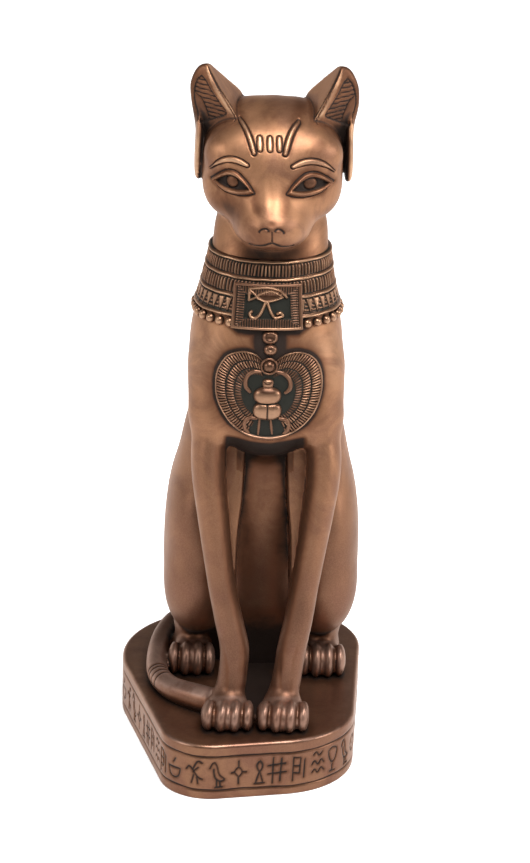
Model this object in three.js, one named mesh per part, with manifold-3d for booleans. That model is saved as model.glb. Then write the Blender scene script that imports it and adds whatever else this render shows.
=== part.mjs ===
// A seated Bastet cat on its plinth, one casting in bronze-finished resin. Millimetres, +Z up, the cat facing -Y.
// The origin is the middle of the plinth's footprint, on its underside.
import * as THREE from "three";
import { mergeVertices } from "three/addons/utils/BufferGeometryUtils.js";
import Module from "manifold-3d";

const wasm = await Module();
wasm.setup();

// Driving sizes
const CAT_HEIGHT = 256.5; // plinth top to ear tips
const PLINTH_HEIGHT = 23.5;
const PLINTH_MARGIN = 9; // plinth top left free around the cat's paws, tail and rump
const PLINTH_EDGE = 1.6; // rounding of the plinth's upper edge
const PLINTH_FOOT_EDGE = 0.8; // rounding of its lower edge
const GROOVE_WIDTH = 0.9; // the two lines that frame the inscription band
const GROOVE_DEPTH = 0.6;
const UPPER_GROOVE_DROP = 5; // from the plinth top down to the upper line
const LOWER_GROOVE_RISE = 4; // from the underside up to the lower line
const SINK = 1.5; // how far the cat's feet, tail and rump run down into the plinth

// The cat is drawn at a height of 256.5 and scaled to CAT_HEIGHT.
const DRAWN_HEIGHT = 256.5;
const SCALE = CAT_HEIGHT / DRAWN_HEIGHT;

// Fields: signed distances, in millimetres of the drawing, below zero inside a form.

// The nearer of two forms, with a fillet of width k where they meet.
function blend(a, b, k) {
  const h = Math.max(k - Math.abs(a - b), 0);
  return Math.min(a, b) - (h * h) / (4 * k);
}

// An ellipsoid whose top leans towards +Y by lean radians.
function ellipsoid([cx, cy, cz], [rx, ry, rz], lean = 0) {
  const c = Math.cos(lean);
  const s = Math.sin(lean);
  return (x, y, z) => {
    const dx = x - cx;
    const dy = c * (y - cy) - s * (z - cz);
    const dz = s * (y - cy) + c * (z - cz);
    const k0 = Math.hypot(dx / rx, dy / ry, dz / rz);
    const k1 = Math.hypot(dx / rx ** 2, dy / ry ** 2, dz / rz ** 2);
    return k1 === 0 ? -Math.min(rx, ry, rz) : (k0 * (k0 - 1)) / k1;
  };
}

// A smooth curve through [height, value, ...] rows, read at a height.
function stations(rows) {
  const n = rows.length;
  return (z) => {
    const zc = Math.min(Math.max(z, rows[0][0]), rows[n - 1][0]);
    let i = 0;
    while (i < n - 2 && zc > rows[i + 1][0]) i++;
    const span = rows[i + 1][0] - rows[i][0];
    const t = (zc - rows[i][0]) / span;
    return rows[i].slice(1).map((v, j) => {
      const slope = (k) => {
        const a = Math.max(k - 1, 0);
        const b = Math.min(k + 1, n - 1);
        return (rows[b][j + 1] - rows[a][j + 1]) / (rows[b][0] - rows[a][0]);
      };
      const next = rows[i + 1][j + 1];
      const m0 = slope(i) * span;
      const m1 = slope(i + 1) * span;
      const t2 = t * t;
      const t3 = t2 * t;
      return v * (2 * t3 - 3 * t2 + 1) + m0 * (t3 - 2 * t2 + t) + next * (3 * t2 - 2 * t3) + m1 * (t3 - t2);
    });
  };
}

// A limb's stretch between two points, with a radius at each.
function taper([ax, ay, az], ra, [bx, by, bz], rb) {
  const [dx, dy, dz] = [bx - ax, by - ay, bz - az];
  const length2 = dx * dx + dy * dy + dz * dz;
  return (x, y, z) => {
    const t = Math.min(Math.max(((x - ax) * dx + (y - ay) * dy + (z - az) * dz) / length2, 0), 1);
    return Math.hypot(x - ax - t * dx, y - ay - t * dy, z - az - t * dz) - (ra + t * (rb - ra));
  };
}

// The trunk from rump to neck: height above the plinth, half width, front and back.
const TRUNK = stations([
  [-4, 25, 9, 47],
  [12, 29, 6, 51],
  [35, 31, 0, 52.5],
  [60, 31.5, -6, 49],
  [85, 28.5, -10, 41.5],
  [103, 26.5, -13, 35],
  [113, 26, -22, 31],
  [122, 26.6, -31, 27.5],
  [135, 27, -33.5, 22.5],
  [150, 27.4, -33, 17],
  [163, 26.3, -30.5, 12.5],
  [174, 24.6, -27.5, 10],
  [185, 21.6, -24.5, 9.5],
  [196, 20, -20.5, 11.5],
  [206, 18, -17, 13],
]);
const TRUNK_TOP = 206;
const TRUNK_FULLNESS = 2.25; // exponent of its level sections: 2 is an ellipse, more is squarer

function trunkField(x, y, z) {
  const [w, front, back] = TRUNK(z);
  const cy = (front + back) / 2;
  const d = (back - front) / 2;
  const n = TRUNK_FULLNESS;
  const share = ((Math.abs(x) / w) ** n + (Math.abs(y - cy) / d) ** n) ** (1 / n);
  return Math.max((share - 1) * Math.min(w, d), z - TRUNK_TOP);
}

const axisOf = (z) => {
  const [, front, back] = TRUNK(z);
  return (front + back) / 2;
};

const thigh = ellipsoid([24.8, 17, 48], [15.2, 28.5, 42], 0.06);
const knee = ellipsoid([26.5, 2, 30], [10.5, 13, 18], -0.2);
const hock = ellipsoid([27, 24, 10], [9, 22, 11]);
const shoulder = ellipsoid([16, -5, 138], [12, 21, 29], 0.15);
const upperArm = taper([17, -16, 138], 11.8, [19.4, -20.5, 122], 10.4);

function bodyField(x, y, z) {
  const ax = Math.abs(x);
  let d = trunkField(x, y, z);
  d = blend(d, thigh(ax, y, z), 9);
  d = blend(d, knee(ax, y, z), 8);
  d = blend(d, hock(ax, y, z), 5);
  d = blend(d, shoulder(ax, y, z), 10);
  d = blend(d, upperArm(ax, y, z), 7);
  return d;
}

const skull = ellipsoid([0, -3, 221], [27.3, 27, 22.3]);
const cheek = ellipsoid([12.5, -12, 207.5], [13.7, 15, 12]);
const muzzle = ellipsoid([0, -25, 201.7], [13, 16, 9]);
const bridge = ellipsoid([0, -25.7, 214], [8.5, 7, 18], 0.46);
const brow = ellipsoid([13.5, -18, 226], [11, 8.5, 7.5]);
const jaw = ellipsoid([0, -20, 197.5], [15, 16, 5.6]);
const neck = ellipsoid([0, -6, 190], [20, 17, 24]);
const MOUTH_HEIGHT = 196.6;

function headField(x, y, z) {
  const ax = Math.abs(x);
  let d = skull(x, y, z);
  d = blend(d, brow(ax, y, z), 6);
  d = blend(d, cheek(ax, y, z), 7);
  d = blend(d, jaw(x, y, z), 5);
  d = blend(d, muzzle(x, y, z), 9);
  d = blend(d, bridge(x, y, z), 7);
  return d;
}

function neckedHeadField(x, y, z) {
  return Math.max(blend(headField(x, y, z), neck(x, y, z), 3), 178 - z);
}

// The last point of a ray where it leaves a field's form.
function cast(field, [x, y, z], [dx, dy, dz]) {
  const at = (r) => field(x + r * dx, y + r * dy, z + r * dz);
  let outside = 75;
  while (outside > 1 && at(outside - 1) > 0) outside -= 1;
  let inside = outside - 1;
  for (let step = 0; step < 20; step++) {
    const r = (inside + outside) / 2;
    if (at(r) < 0) inside = r;
    else outside = r;
  }
  return [x + inside * dx, y + inside * dy, z + inside * dz];
}

// The slope of a field at a point.
function slope(field, [x, y, z]) {
  const e = 0.05;
  return [
    (field(x + e, y, z) - field(x - e, y, z)) / (2 * e),
    (field(x, y + e, z) - field(x, y - e, z)) / (2 * e),
    (field(x, y, z + e) - field(x, y, z - e)) / (2 * e),
  ];
}

// A point of a field's front at x and z, lifted outwards.
function frontPoint(field, x, z, lift) {
  const [, y] = cast(field, [x, -4, z], [0, -1, 0]);
  const g = slope(field, [x, y, z]);
  const length = Math.hypot(...g);
  return [x + (lift * g[0]) / length, y + (lift * g[1]) / length, z + (lift * g[2]) / length];
}

function closed(points, index) {
  const geometry = new THREE.BufferGeometry();
  geometry.setAttribute("position", new THREE.Float32BufferAttribute(points.flat(), 3));
  geometry.setIndex(index);
  return geometry;
}

// A closed loft through rings of points; each end is filled with a fan about its middle.
function loft(rings) {
  const sides = rings[0].length;
  const points = rings.flat();
  const index = [];
  for (let r = 0; r < rings.length - 1; r++)
    for (let s = 0; s < sides; s++) {
      const a = r * sides + s;
      const b = r * sides + ((s + 1) % sides);
      index.push(a, b, b + sides, a, b + sides, a + sides);
    }
  for (const [r, flip] of [[0, true], [rings.length - 1, false]]) {
    const middle = [0, 1, 2].map((m) => rings[r].reduce((sum, p) => sum + p[m], 0) / sides);
    points.push(middle);
    for (let s = 0; s < sides; s++) {
      const a = r * sides + s;
      const b = r * sides + ((s + 1) % sides);
      index.push(...(flip ? [b, a] : [a, b]), points.length - 1);
    }
  }
  return closed(points, index);
}

const shares = (n) => Array.from({ length: n + 1 }, (_, i) => i / n);

// A rounded cord along a smooth path, with a ring at each of its stops: [share of the length, share of the radius].
// A number of steps gives even stops.
function cord(path, radius, sides, stops) {
  const curve = new THREE.CatmullRomCurve3(path.map((p) => new THREE.Vector3(...p)));
  const list = Array.isArray(stops) ? stops : shares(stops).map((t) => [t, 1]);
  let side = new THREE.Vector3(0.31, 0.2, 0.93);
  const rings = list.map(([t, thickness]) => {
    const centre = curve.getPointAt(t);
    const along = curve.getTangentAt(t);
    side = side.clone().addScaledVector(along, -side.dot(along)).normalize();
    const across = along.clone().cross(side);
    return circle(sides).map(([u, v]) => {
      const offset = side.clone().multiplyScalar(u).addScaledVector(across, v);
      return centre.clone().addScaledVector(offset, radius * thickness).toArray();
    });
  });
  return loft(rings);
}

// A raised plate on a front: an outline of [x, z] points shrunk about a middle, [share, lift] by [share, lift].
function plate(outline, [mx, mz], skinAt, profile) {
  const rings = profile.map(([share, lift]) =>
    outline.map(([x, z]) => skinAt(mx + (x - mx) * share, mz + (z - mz) * share, lift)),
  );
  return loft(rings);
}

const BODY_LEVELS = 22;
const CHEST_LEVELS = [112, 116, 120, 124]; // more of them under the overhang of the chest
const BODY_SIDES = 28;

function bodySkin() {
  const even = shares(BODY_LEVELS).map((t) => -SINK / SCALE + t * (TRUNK_TOP + SINK / SCALE));
  const levels = [...even, ...CHEST_LEVELS].sort((a, b) => a - b);
  return loft(levels.map((z) => circle(BODY_SIDES).map(([u, v]) => cast(bodyField, [0, axisOf(z), z], [u, v, 0]))));
}

const HEAD_MIDDLE = [0, -7, 203.5];
const HEAD_RINGS = 16; // from the nose round to the back of the skull, closer together over the face
const HEAD_SIDES = 26;

function headSkin() {
  const rings = shares(HEAD_RINGS).map((t) => {
    const a = 0.1 + t ** 1.15 * (Math.PI - 0.3);
    const direction = ([u, v]) => [Math.sin(a) * u, -Math.cos(a), Math.sin(a) * v];
    return circle(HEAD_SIDES).map((around) => cast(neckedHeadField, HEAD_MIDDLE, direction(around)));
  });
  return loft(rings);
}

// A limb with level rings: rows of [height, centre x, centre y, half width, half depth].
function limb(rows, sides, levels) {
  const at = stations(rows);
  const bottom = rows[0][0];
  const top = rows[rows.length - 1][0];
  const rings = [];
  for (let i = 0; i <= levels; i++) {
    const z = bottom + ((top - bottom) * i) / levels;
    const [cx, cy, rx, ry] = at(z);
    rings.push(circle(sides).map(([u, v]) => [cx + rx * u, cy + ry * v, z]));
  }
  return loft(rings);
}

function circle(sides) {
  return Array.from({ length: sides }, (_, i) => {
    const a = ((i + 0.5) / sides) * 2 * Math.PI;
    return [Math.cos(a), Math.sin(a)];
  });
}

function ball([x, y, z], [rx, ry, rz], across = 10, down = 7) {
  return new THREE.SphereGeometry(1, across, down).rotateX(Math.PI / 2).scale(rx, ry, rz).translate(x, y, z);
}

// A manifold-3d solid of a closed geometry, its faces turned round where they run inside out.
function solid(geometry) {
  const bare = geometry.clone();
  bare.deleteAttribute("normal");
  bare.deleteAttribute("uv");
  const merged = mergeVertices(bare, 1e-4);
  const vertProperties = merged.attributes.position.array;
  const triVerts = new Uint32Array(merged.index.array);
  const made = new wasm.Manifold(new wasm.Mesh({ numProp: 3, vertProperties, triVerts }));
  if (made.volume() > 0) return made;
  return new wasm.Manifold(new wasm.Mesh({ numProp: 3, vertProperties, triVerts: triVerts.reverse() }));
}

const joined = (solids) => solids.reduce((all, piece) => all.add(piece));
const bothSides = (make) => [1, -1].map((side) => solid(make(side)));

// Forelegs: [height, centre x, centre y, half width, half depth]
const FORELEG = [
  [3, 10, -40.5, 6.8, 7.2],
  [12, 9.7, -39.3, 6.4, 7],
  [22, 10.4, -38.2, 6, 6.8],
  [34, 12.8, -36.8, 5.5, 6.8],
  [48, 15.4, -35, 5.5, 6.9],
  [63, 17.2, -32.8, 6.3, 7.6],
  [80, 19.5, -29.5, 7.2, 8.5],
  [97, 20.2, -26, 8.8, 9.6],
  [110, 20, -22.5, 10, 10.8],
  [126, 18.6, -18.5, 10.8, 11.4],
];
// The fold of skin behind each foreleg
const FORELEG_FOLD = [
  [38, 13.6, -34, 1.6, 3],
  [52, 12.8, -30.5, 2.4, 4.5],
  [75, 12.4, -25, 3.3, 6],
  [100, 12.6, -19.5, 4.4, 7],
  [118, 12.5, -16, 5, 7],
];

const onSide = (rows, side) => rows.map(([z, cx, ...rest]) => [z, side * cx, ...rest]);
const foreleg = (side) => limb(onSide(FORELEG, side), 10, 8);
const forelegFold = (side) => limb(onSide(FORELEG_FOLD, side), 6, 4);

// Paws: level outlines with four toes in front, drawn in towards the ankle on the way up
const FOREPAW = { x: 10.8, y: -47, halfWidth: 10.5, front: 12.6, back: 12, height: 12 };
const HIND_PAW = { x: 26.6, y: 5.5, halfWidth: 9, front: 12.5, back: 22, height: 12 };
// [share of the height, share of the width, how far the toe tips draw back, depth of the clefts between toes]
const PAW_LEVELS = [
  [-0.13, 0.96, 0.3, 2.6],
  [0.25, 1, 0, 2.8],
  [0.55, 0.97, 1, 2.6],
  [0.8, 0.88, 3.6, 1.8],
  [0.98, 0.62, 7.6, 0.5],
];

function paw(p, side) {
  const rings = PAW_LEVELS.map(([level, width, draw, cleft]) => {
    const w = p.halfWidth * width;
    const front = p.front - draw;
    const toes = shares(12).map((t) => {
      const across = 2 * t - 1; // -1 to 1 over the four toes
      const arch = 1 - 0.42 * across ** 2 - 0.22 * across ** 6;
      const round = Math.abs(Math.sin(2 * Math.PI * across)) ** 0.4;
      return [across, front * arch - cleft * (1 - round)];
    });
    const heel = shares(6).slice(1, -1).map((t) => [Math.cos(Math.PI * t), -p.back * width * Math.sin(Math.PI * t)]);
    const outline = [...toes, ...heel];
    return outline.map(([across, forward]) => [side * (p.x + across * w), p.y - forward, p.height * level]);
  });
  return loft(rings);
}

// Tail: lies on the plinth, from the rump round the left flank to the left forepaw
const TAIL_RADIUS = 5;
const TAIL_RINGS = [0.7, 0.735, 0.77, 0.805]; // shares of its length where a line is cut round it
const TAIL = [
  [-4, 46, 6],
  [-20, 48, 5],
  [-32, 42, 4.2],
  [-38, 26, 4],
  [-40.5, 6, 4],
  [-40, -12, 4],
  [-34.5, -25, 4],
  [-24, -33.5, 4],
  [-17, -37.5, 4],
];

function tail() {
  const groove = 0.008; // half its width, as a share of the tail's length
  const grooves = TAIL_RINGS.flatMap((t) => [[t - groove, 1], [t, 0.88], [t + groove, 1]]);
  const rest = shares(15).filter((t) => TAIL_RINGS.every((ring) => Math.abs(t - ring) > 2 * groove));
  const stops = [...rest.map((t) => [t, 1]), ...grooves].sort((a, b) => a[0] - b[0]);
  return cord(TAIL, TAIL_RADIUS, 7, stops);
}

// Ears: level rings with a hollowed front, from the skull to the tip
// [height, outer x, outer y, ridge x, ridge y, back x, back y]
const EAR = [
  [222, 26.5, 0, 15, -4, 13, 8],
  [229, 29.3, -2.5, 13, -11, 10, 9],
  [237, 31, -4, 13, -15.5, 9.6, 8],
  [243, 31.7, -5, 16, -14.8, 10.8, 6.5],
  [249, 31.1, -6, 19.6, -12.8, 16.2, 3.5],
  [254, 28.8, -6.5, 22.6, -10.2, 21.4, -1],
  [256.5, 26.2, -7, 24.2, -8.4, 24, -5],
];
const EAR_HOLLOW = 1.4;

function ear(side) {
  const at = stations(EAR);
  const levels = 7;
  const rings = [];
  for (let i = 0; i <= levels; i++) {
    const z = EAR[0][0] + ((EAR[EAR.length - 1][0] - EAR[0][0]) * i) / levels;
    const [ox, oy, rx, ry, bx, by] = at(z);
    const arc = new THREE.CubicBezierCurve(
      new THREE.Vector2(rx, ry),
      new THREE.Vector2(bx - 0.35 * (ox - bx), by - 0.2 * (by - ry)),
      new THREE.Vector2(bx + 0.35 * (ox - bx), by + 0.7 * (by - ry)),
      new THREE.Vector2(ox, oy),
    );
    const back = arc.getPoints(6).map((p) => [side * p.x, p.y, z]);
    const hollow = EAR_HOLLOW * Math.min(1, (ox - rx) / 8);
    const front = [0.15, 0.3, 0.75].map((t) => {
      const depth = t === 0.15 ? 0 : hollow;
      return [side * (ox + (rx - ox) * t), oy + (ry - oy) * t + depth, z];
    });
    rings.push([...back, ...front]);
  }
  return loft(rings);
}

const sideLobe = (side) => ball([side * 28.4, 1, 218.5], [1.7, 6.2, 10.5], 7, 5);

// Eyes: a slanted almond with a raised rim round a sunk eyeball
const EYE = { x: 13.9, z: 217.2, halfLength: 7.4, halfHeight: 3.7, slant: 0.28, rim: 0.95, depth: 1 };

// A point of the face given along and across one eye's slant.
function nearEye(side, along, across, lift) {
  const c = Math.cos(EYE.slant);
  const s = Math.sin(EYE.slant);
  return frontPoint(headField, side * (EYE.x + c * along - s * across), EYE.z + s * along + c * across, lift);
}

// The almond's lid: 1 the upper, -1 the lower; t from the inner corner to the outer.
function lid(which, t, grow = 0) {
  const along = (2 * t - 1) * (EYE.halfLength + grow);
  return [along, which * (EYE.halfHeight + grow) * Math.sin(Math.PI * t) ** 0.8];
}

function eyeSocket(side) {
  const round = [...shares(6).map((t) => lid(1, t)), ...shares(6).slice(1, -1).reverse().map((t) => lid(-1, t))];
  const ring = (share, lift) => round.map(([a, b]) => nearEye(side, a * share, b * share, lift));
  return loft([ring(1, -EYE.depth), ring(1, 4)]);
}

function eyeParts(side) {
  const rims = [1, -1].map((which) =>
    cord(shares(8).map((t) => nearEye(side, ...lid(which, t, 0.7), 0)), EYE.rim, 4, 6),
  );
  const eyeball = ball(nearEye(side, 0, 0, -3.3), [5, 3.4, 3.6], 8, 6);
  const iris = ball(nearEye(side, 0.3, 0.2, -0.6), [2.4, 1.3, 2.4], 6, 4);
  return [...rims, eyeball, iris].map(solid);
}

const BROW = [[-4.2, 7.4], [-0.5, 8.9], [4.5, 8.2], [7.4, 6], [9.4, 3.2]]; // along and across the eye's slant
const browLine = (side) => cord(BROW.map(([a, b]) => nearEye(side, a, b, 0)), 1.1, 4, 5);

// Forehead: three small loops between two long slanted strips, each [x, height]
const LOOP_X = [-3.3, 0, 3.3];
const LOOP_HEIGHTS = [229.8, 233.8];
const STRIP = [[5.3, 228.9], [6.6, 231.6], [8.6, 234.4], [12, 237.2]];

function foreheadMarks() {
  const mark = (points, r) => cord(points.map(([x, z]) => frontPoint(headField, x, z, 0)), r, 4, 2);
  const loops = LOOP_X.map((x) => mark(LOOP_HEIGHTS.map((z) => [x, z]), 0.9));
  const strips = [1, -1].map((side) => mark(STRIP.map(([x, z]) => [side * x, z]), 1));
  return [...loops, ...strips].map(solid);
}

// Collar: a band round the neck with four raised rings, a row of beads below and a plaque in front
const COLLAR_TOP = 186.4;
const COLLAR_BOTTOM = 163.8;
const COLLAR_RINGS = [164.7, 172.4, 179.5, 185.6];
const RING_LIFT = 1.7;
const ROW_LIFT = 0.9;
const RING_HALF = 0.6;
const SIDE_RISE = 0.3; // the rings stand further apart at the sides and back than in front
const LEVEL_RING = 171.5; // the height at which a ring would be level
const BEADS = { height: 161.9, radius: 1.75, pitch: 4.2 };

function collarPoint(height, angle, lift) {
  const z = height + SIDE_RISE * (height - LEVEL_RING) * (1 - Math.cos(angle));
  const [dx, dy] = [Math.sin(angle), -Math.cos(angle)];
  const [x, y] = cast(bodyField, [0, axisOf(z), z], [dx, dy, 0]);
  return [x + lift * dx, y + lift * dy, z];
}

function collarBand() {
  const profile = [[COLLAR_BOTTOM, -2.5]];
  for (const z of COLLAR_RINGS) {
    if (z - RING_HALF * 1.5 > COLLAR_BOTTOM) profile.push([z - RING_HALF * 1.5, ROW_LIFT]);
    profile.push([z - RING_HALF, RING_LIFT], [z + RING_HALF, RING_LIFT]);
    if (z + RING_HALF * 1.5 < COLLAR_TOP) profile.push([z + RING_HALF * 1.5, ROW_LIFT]);
  }
  profile.push([COLLAR_TOP, -2.5]);
  const turn = shares(22).slice(0, -1);
  return loft(profile.map(([z, lift]) => turn.map((t) => collarPoint(z, t * 2 * Math.PI, lift))));
}

function beads() {
  const far = shares(400).map((t) => collarPoint(BEADS.height, t * 2 * Math.PI, 0.5));
  const run = [0];
  for (let i = 1; i < far.length; i++)
    run.push(run[i - 1] + Math.hypot(far[i][0] - far[i - 1][0], far[i][1] - far[i - 1][1]));
  const count = Math.round(run[run.length - 1] / BEADS.pitch);
  const made = [];
  for (let b = 0; b < count; b++) {
    const p = far[run.findIndex((r) => r >= ((b + 0.5) / count) * run[run.length - 1])];
    if (p[1] < -10 && Math.abs(p[0]) < PLAQUE.bottomHalf) continue;
    made.push(solid(ball(p, [BEADS.radius, BEADS.radius, BEADS.radius * 1.08], 5, 3)));
  }
  return made;
}

const PLAQUE = { top: 179.4, bottom: 160.6, topHalf: 11.6, bottomHalf: 13.4, lift: 2.5, frame: 1.8, field: 1.3 };
const frontOfTrunk = (x, z, lift) => frontPoint(bodyField, x, z, lift);

function plaque() {
  const side = (a, b) => shares(4).slice(0, -1).map((t) => [a[0] + (b[0] - a[0]) * t, a[1] + (b[1] - a[1]) * t]);
  const p = PLAQUE;
  const corners = [
    [-p.bottomHalf, p.bottom],
    [p.bottomHalf, p.bottom],
    [p.topHalf, p.top],
    [-p.topHalf, p.top],
  ];
  const outline = corners.flatMap((c, i) => side(c, corners[(i + 1) % 4]));
  const middle = [0, (p.top + p.bottom) / 2];
  const profile = [[1, -1.5], [1, p.lift], [0.93, p.lift], [0.91, p.frame], [0.72, p.frame], [0.69, p.field], [0.3, p.field]];
  return plate(outline, middle, frontOfTrunk, profile);
}

// The eye drawn on the plaque: a lens, a brow line, a bar and two curls, each line through [x, height]
const PLAQUE_EYE_LENS = { x: 0.8, z: 172.2, halfLength: 4.6, halfHeight: 1.5 };
const PLAQUE_EYE = [
  [[[-7, 174.6], [-3, 175.6], [1.5, 176], [5.6, 175], [7.6, 172.8]], 0.6],
  [[[-7.2, 174.2], [-6.6, 171.6]], 0.8],
  [[[-0.9, 170.6], [-2.4, 167.4], [-4.6, 165.8], [-6.4, 166.8], [-6.6, 168]], 0.65],
  [[[0.6, 170.6], [1.6, 167.6], [3.8, 165.8], [6.4, 166.6]], 0.65],
];

const drawnOnTrunk = ([path, radius], lift) =>
  solid(cord(path.map(([x, z]) => frontOfTrunk(x, z, lift)), radius, 4, path.length));

function plaqueEye() {
  const e = PLAQUE_EYE_LENS;
  const lens = solid(ball(frontOfTrunk(e.x, e.z, PLAQUE.field), [e.halfLength, 0.9, e.halfHeight], 8, 4));
  return [lens, ...PLAQUE_EYE.map((line) => drawnOnTrunk(line, PLAQUE.field))];
}

// Pectoral: a winged shield on the chest with a scarab in its sunk middle
const PECTORAL_MIDDLE = [-0.4, 134];
const PECTORAL_HALF = [ // right half of its outline from the notch down, [x, height]
  [2.2, 147.6], [5, 150.2], [9.6, 151.2], [14, 149.6], [17.4, 146.2], [19.8, 141], [20.6, 135], [19.8, 129], [17, 123.6],
  [12.6, 119], [7, 116.2], [0, 115.4],
];
const PECTORAL_PROFILE = [
  [1, -1.5], [1, 1.1], [0.8, 1.5], [0.77, 0.9], [0.65, 1.4], [0.62, 0.8], [0.5, 1.3], [0.45, 0.1],
];

function pectoral() {
  const outline = [...PECTORAL_HALF, ...PECTORAL_HALF.slice(0, -1).reverse().map(([x, z]) => [-x, z])];
  return plate(outline.reverse(), PECTORAL_MIDDLE, frontOfTrunk, PECTORAL_PROFILE);
}

const onChest = (x, z, lift, radii, across = 8, down = 5) => solid(ball(frontOfTrunk(x, z, lift), radii, across, down));

function scarab() {
  const legs = [1, -1].flatMap((side) => [
    [[[side * 3.4, 143.2], [side * 6.6, 141.4], [side * 7.2, 137.6], [side * 5.6, 134.6]], 0.8],
    [[[side * 4, 124.6], [side * 6.8, 122.8], [side * 6.6, 119.4], [side * 4, 117.8]], 0.8],
  ]);
  return [
    onChest(0, 156.3, 0.9, [2.7, 1.6, 2.6]),
    onChest(0, 152, 0.9, [2.1, 1.4, 2], 7, 4),
    onChest(0, 145.8, 0.9, [3.1, 1.8, 3]),
    onChest(0, 140.2, 0.8, [2.3, 1.6, 1.9], 7, 4),
    onChest(0, 135.6, 0.8, [5, 2.4, 3.6]),
    onChest(0, 128.4, 0.8, [5.2, 2.5, 5]),
    ...legs.map((leg) => drawnOnTrunk(leg, 0.7)),
    drawnOnTrunk([[[-7.2, 117.6], [-3, 116.4], [3, 116.4], [7.2, 117.6]], 0.9], 0.7),
  ];
}

// Plinth: corner points in plan and their radii, from the cat's own reach plus the margin
const PLINTH_CORNERS = [
  [-27.4, -60.6, 20],
  [28.4, -50.7, 34],
  [37.5, 57, 34],
  [-55.8, 51, 46],
];

function plinthOutline(inset) {
  const pts = PLINTH_CORNERS.map(([x, y]) => new THREE.Vector2(x * SCALE, y * SCALE));
  const n = pts.length;
  const grown = pts.map((p, i) => {
    const a = pts[(i + n - 1) % n].clone().sub(p).normalize();
    const b = pts[(i + 1) % n].clone().sub(p).normalize();
    const half = Math.acos(a.dot(b)) / 2;
    const out = a.add(b).normalize().negate();
    return p.clone().addScaledVector(out, (PLINTH_MARGIN - inset) / Math.sin(half));
  });
  const ring = [];
  const arcSteps = 5;
  grown.forEach((p, i) => {
    const a = grown[(i + n - 1) % n].clone().sub(p).normalize();
    const b = grown[(i + 1) % n].clone().sub(p).normalize();
    const half = Math.acos(a.dot(b)) / 2;
    const radius = PLINTH_CORNERS[i][2] * SCALE - inset;
    const centre = p.clone().addScaledVector(a.clone().add(b).normalize(), radius / Math.sin(half));
    const start = p.clone().addScaledVector(a, radius / Math.tan(half)).sub(centre);
    const sweep = Math.PI - 2 * half;
    for (let s = 0; s <= arcSteps; s++)
      ring.push(start.clone().rotateAround(new THREE.Vector2(), (sweep * s) / arcSteps).add(centre));
  });
  return ring.map((p) => [p.x, p.y]);
}

function plinth() {
  const upper = PLINTH_HEIGHT - UPPER_GROOVE_DROP;
  const levels = [
    [0, PLINTH_FOOT_EDGE],
    [PLINTH_FOOT_EDGE, 0],
    [LOWER_GROOVE_RISE - GROOVE_WIDTH / 2, 0],
    [LOWER_GROOVE_RISE, GROOVE_DEPTH],
    [LOWER_GROOVE_RISE + GROOVE_WIDTH / 2, 0],
    [upper - GROOVE_WIDTH / 2, 0],
    [upper, GROOVE_DEPTH],
    [upper + GROOVE_WIDTH / 2, 0],
    [PLINTH_HEIGHT - PLINTH_EDGE, 0],
    [PLINTH_HEIGHT - PLINTH_EDGE * 0.3, PLINTH_EDGE * 0.3],
    [PLINTH_HEIGHT, PLINTH_EDGE],
  ];
  return loft(levels.map(([z, inset]) => plinthOutline(inset).map(([x, y]) => [x, y, z])));
}

const body = solid(bodySkin());
const head = solid(headSkin());
const sockets = joined(bothSides(eyeSocket));
const cat = joined([
  body,
  head.subtract(sockets),
  ...[1, -1].flatMap(eyeParts),
  ...bothSides(browLine),
  ...foreheadMarks(),
  ...bothSides(ear),
  ...bothSides(sideLobe),
  solid(collarBand()),
  ...beads(),
  solid(plaque()),
  ...plaqueEye(),
  solid(pectoral()),
  ...scarab(),
  ...bothSides(foreleg),
  ...bothSides(forelegFold),
  ...[FOREPAW, HIND_PAW].flatMap((p) => bothSides((side) => paw(p, side))),
  solid(tail()),
]);
const figure = cat.scale(SCALE).translate([0, 0, PLINTH_HEIGHT]).add(solid(plinth()));

const reach = new THREE.Box2().setFromPoints(plinthOutline(0).map((p) => new THREE.Vector2(...p)));
const middle = reach.getCenter(new THREE.Vector2());
const made = figure.getMesh();
const geometry = new THREE.BufferGeometry();
geometry.setAttribute("position", new THREE.BufferAttribute(made.vertProperties, 3));
geometry.setIndex(new THREE.BufferAttribute(made.triVerts, 1));
geometry.computeVertexNormals();

const BRONZE = new THREE.MeshStandardMaterial({ color: 0x7a5440, roughness: 0.42, metalness: 0.85 });
const bastet = new THREE.Mesh(geometry, BRONZE);
bastet.name = "bastet_cat_on_plinth";
bastet.position.set(-middle.x, -middle.y, 0);
const group = new THREE.Group();
group.add(bastet);

export default group;
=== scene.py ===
# A seated Bastet cat on its plinth: the dressed model of one casting in bronze-finished resin.
import math

import bmesh
import bpy
import numpy as np
from mathutils import Matrix, Vector


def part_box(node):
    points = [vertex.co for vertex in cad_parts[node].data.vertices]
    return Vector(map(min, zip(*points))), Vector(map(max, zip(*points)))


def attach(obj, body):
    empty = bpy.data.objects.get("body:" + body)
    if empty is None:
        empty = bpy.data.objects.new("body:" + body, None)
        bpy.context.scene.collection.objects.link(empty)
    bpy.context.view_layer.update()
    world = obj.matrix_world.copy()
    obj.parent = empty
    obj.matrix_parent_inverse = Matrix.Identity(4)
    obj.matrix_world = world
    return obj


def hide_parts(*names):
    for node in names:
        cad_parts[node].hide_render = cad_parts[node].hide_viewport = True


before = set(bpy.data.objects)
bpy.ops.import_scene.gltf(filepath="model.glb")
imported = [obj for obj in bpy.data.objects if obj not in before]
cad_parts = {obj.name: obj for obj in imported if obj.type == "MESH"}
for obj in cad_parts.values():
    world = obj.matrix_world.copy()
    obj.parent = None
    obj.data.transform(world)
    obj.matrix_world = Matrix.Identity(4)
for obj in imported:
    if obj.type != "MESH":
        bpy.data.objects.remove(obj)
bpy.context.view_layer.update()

NODE = "bastet_cat_on_plinth"

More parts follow.
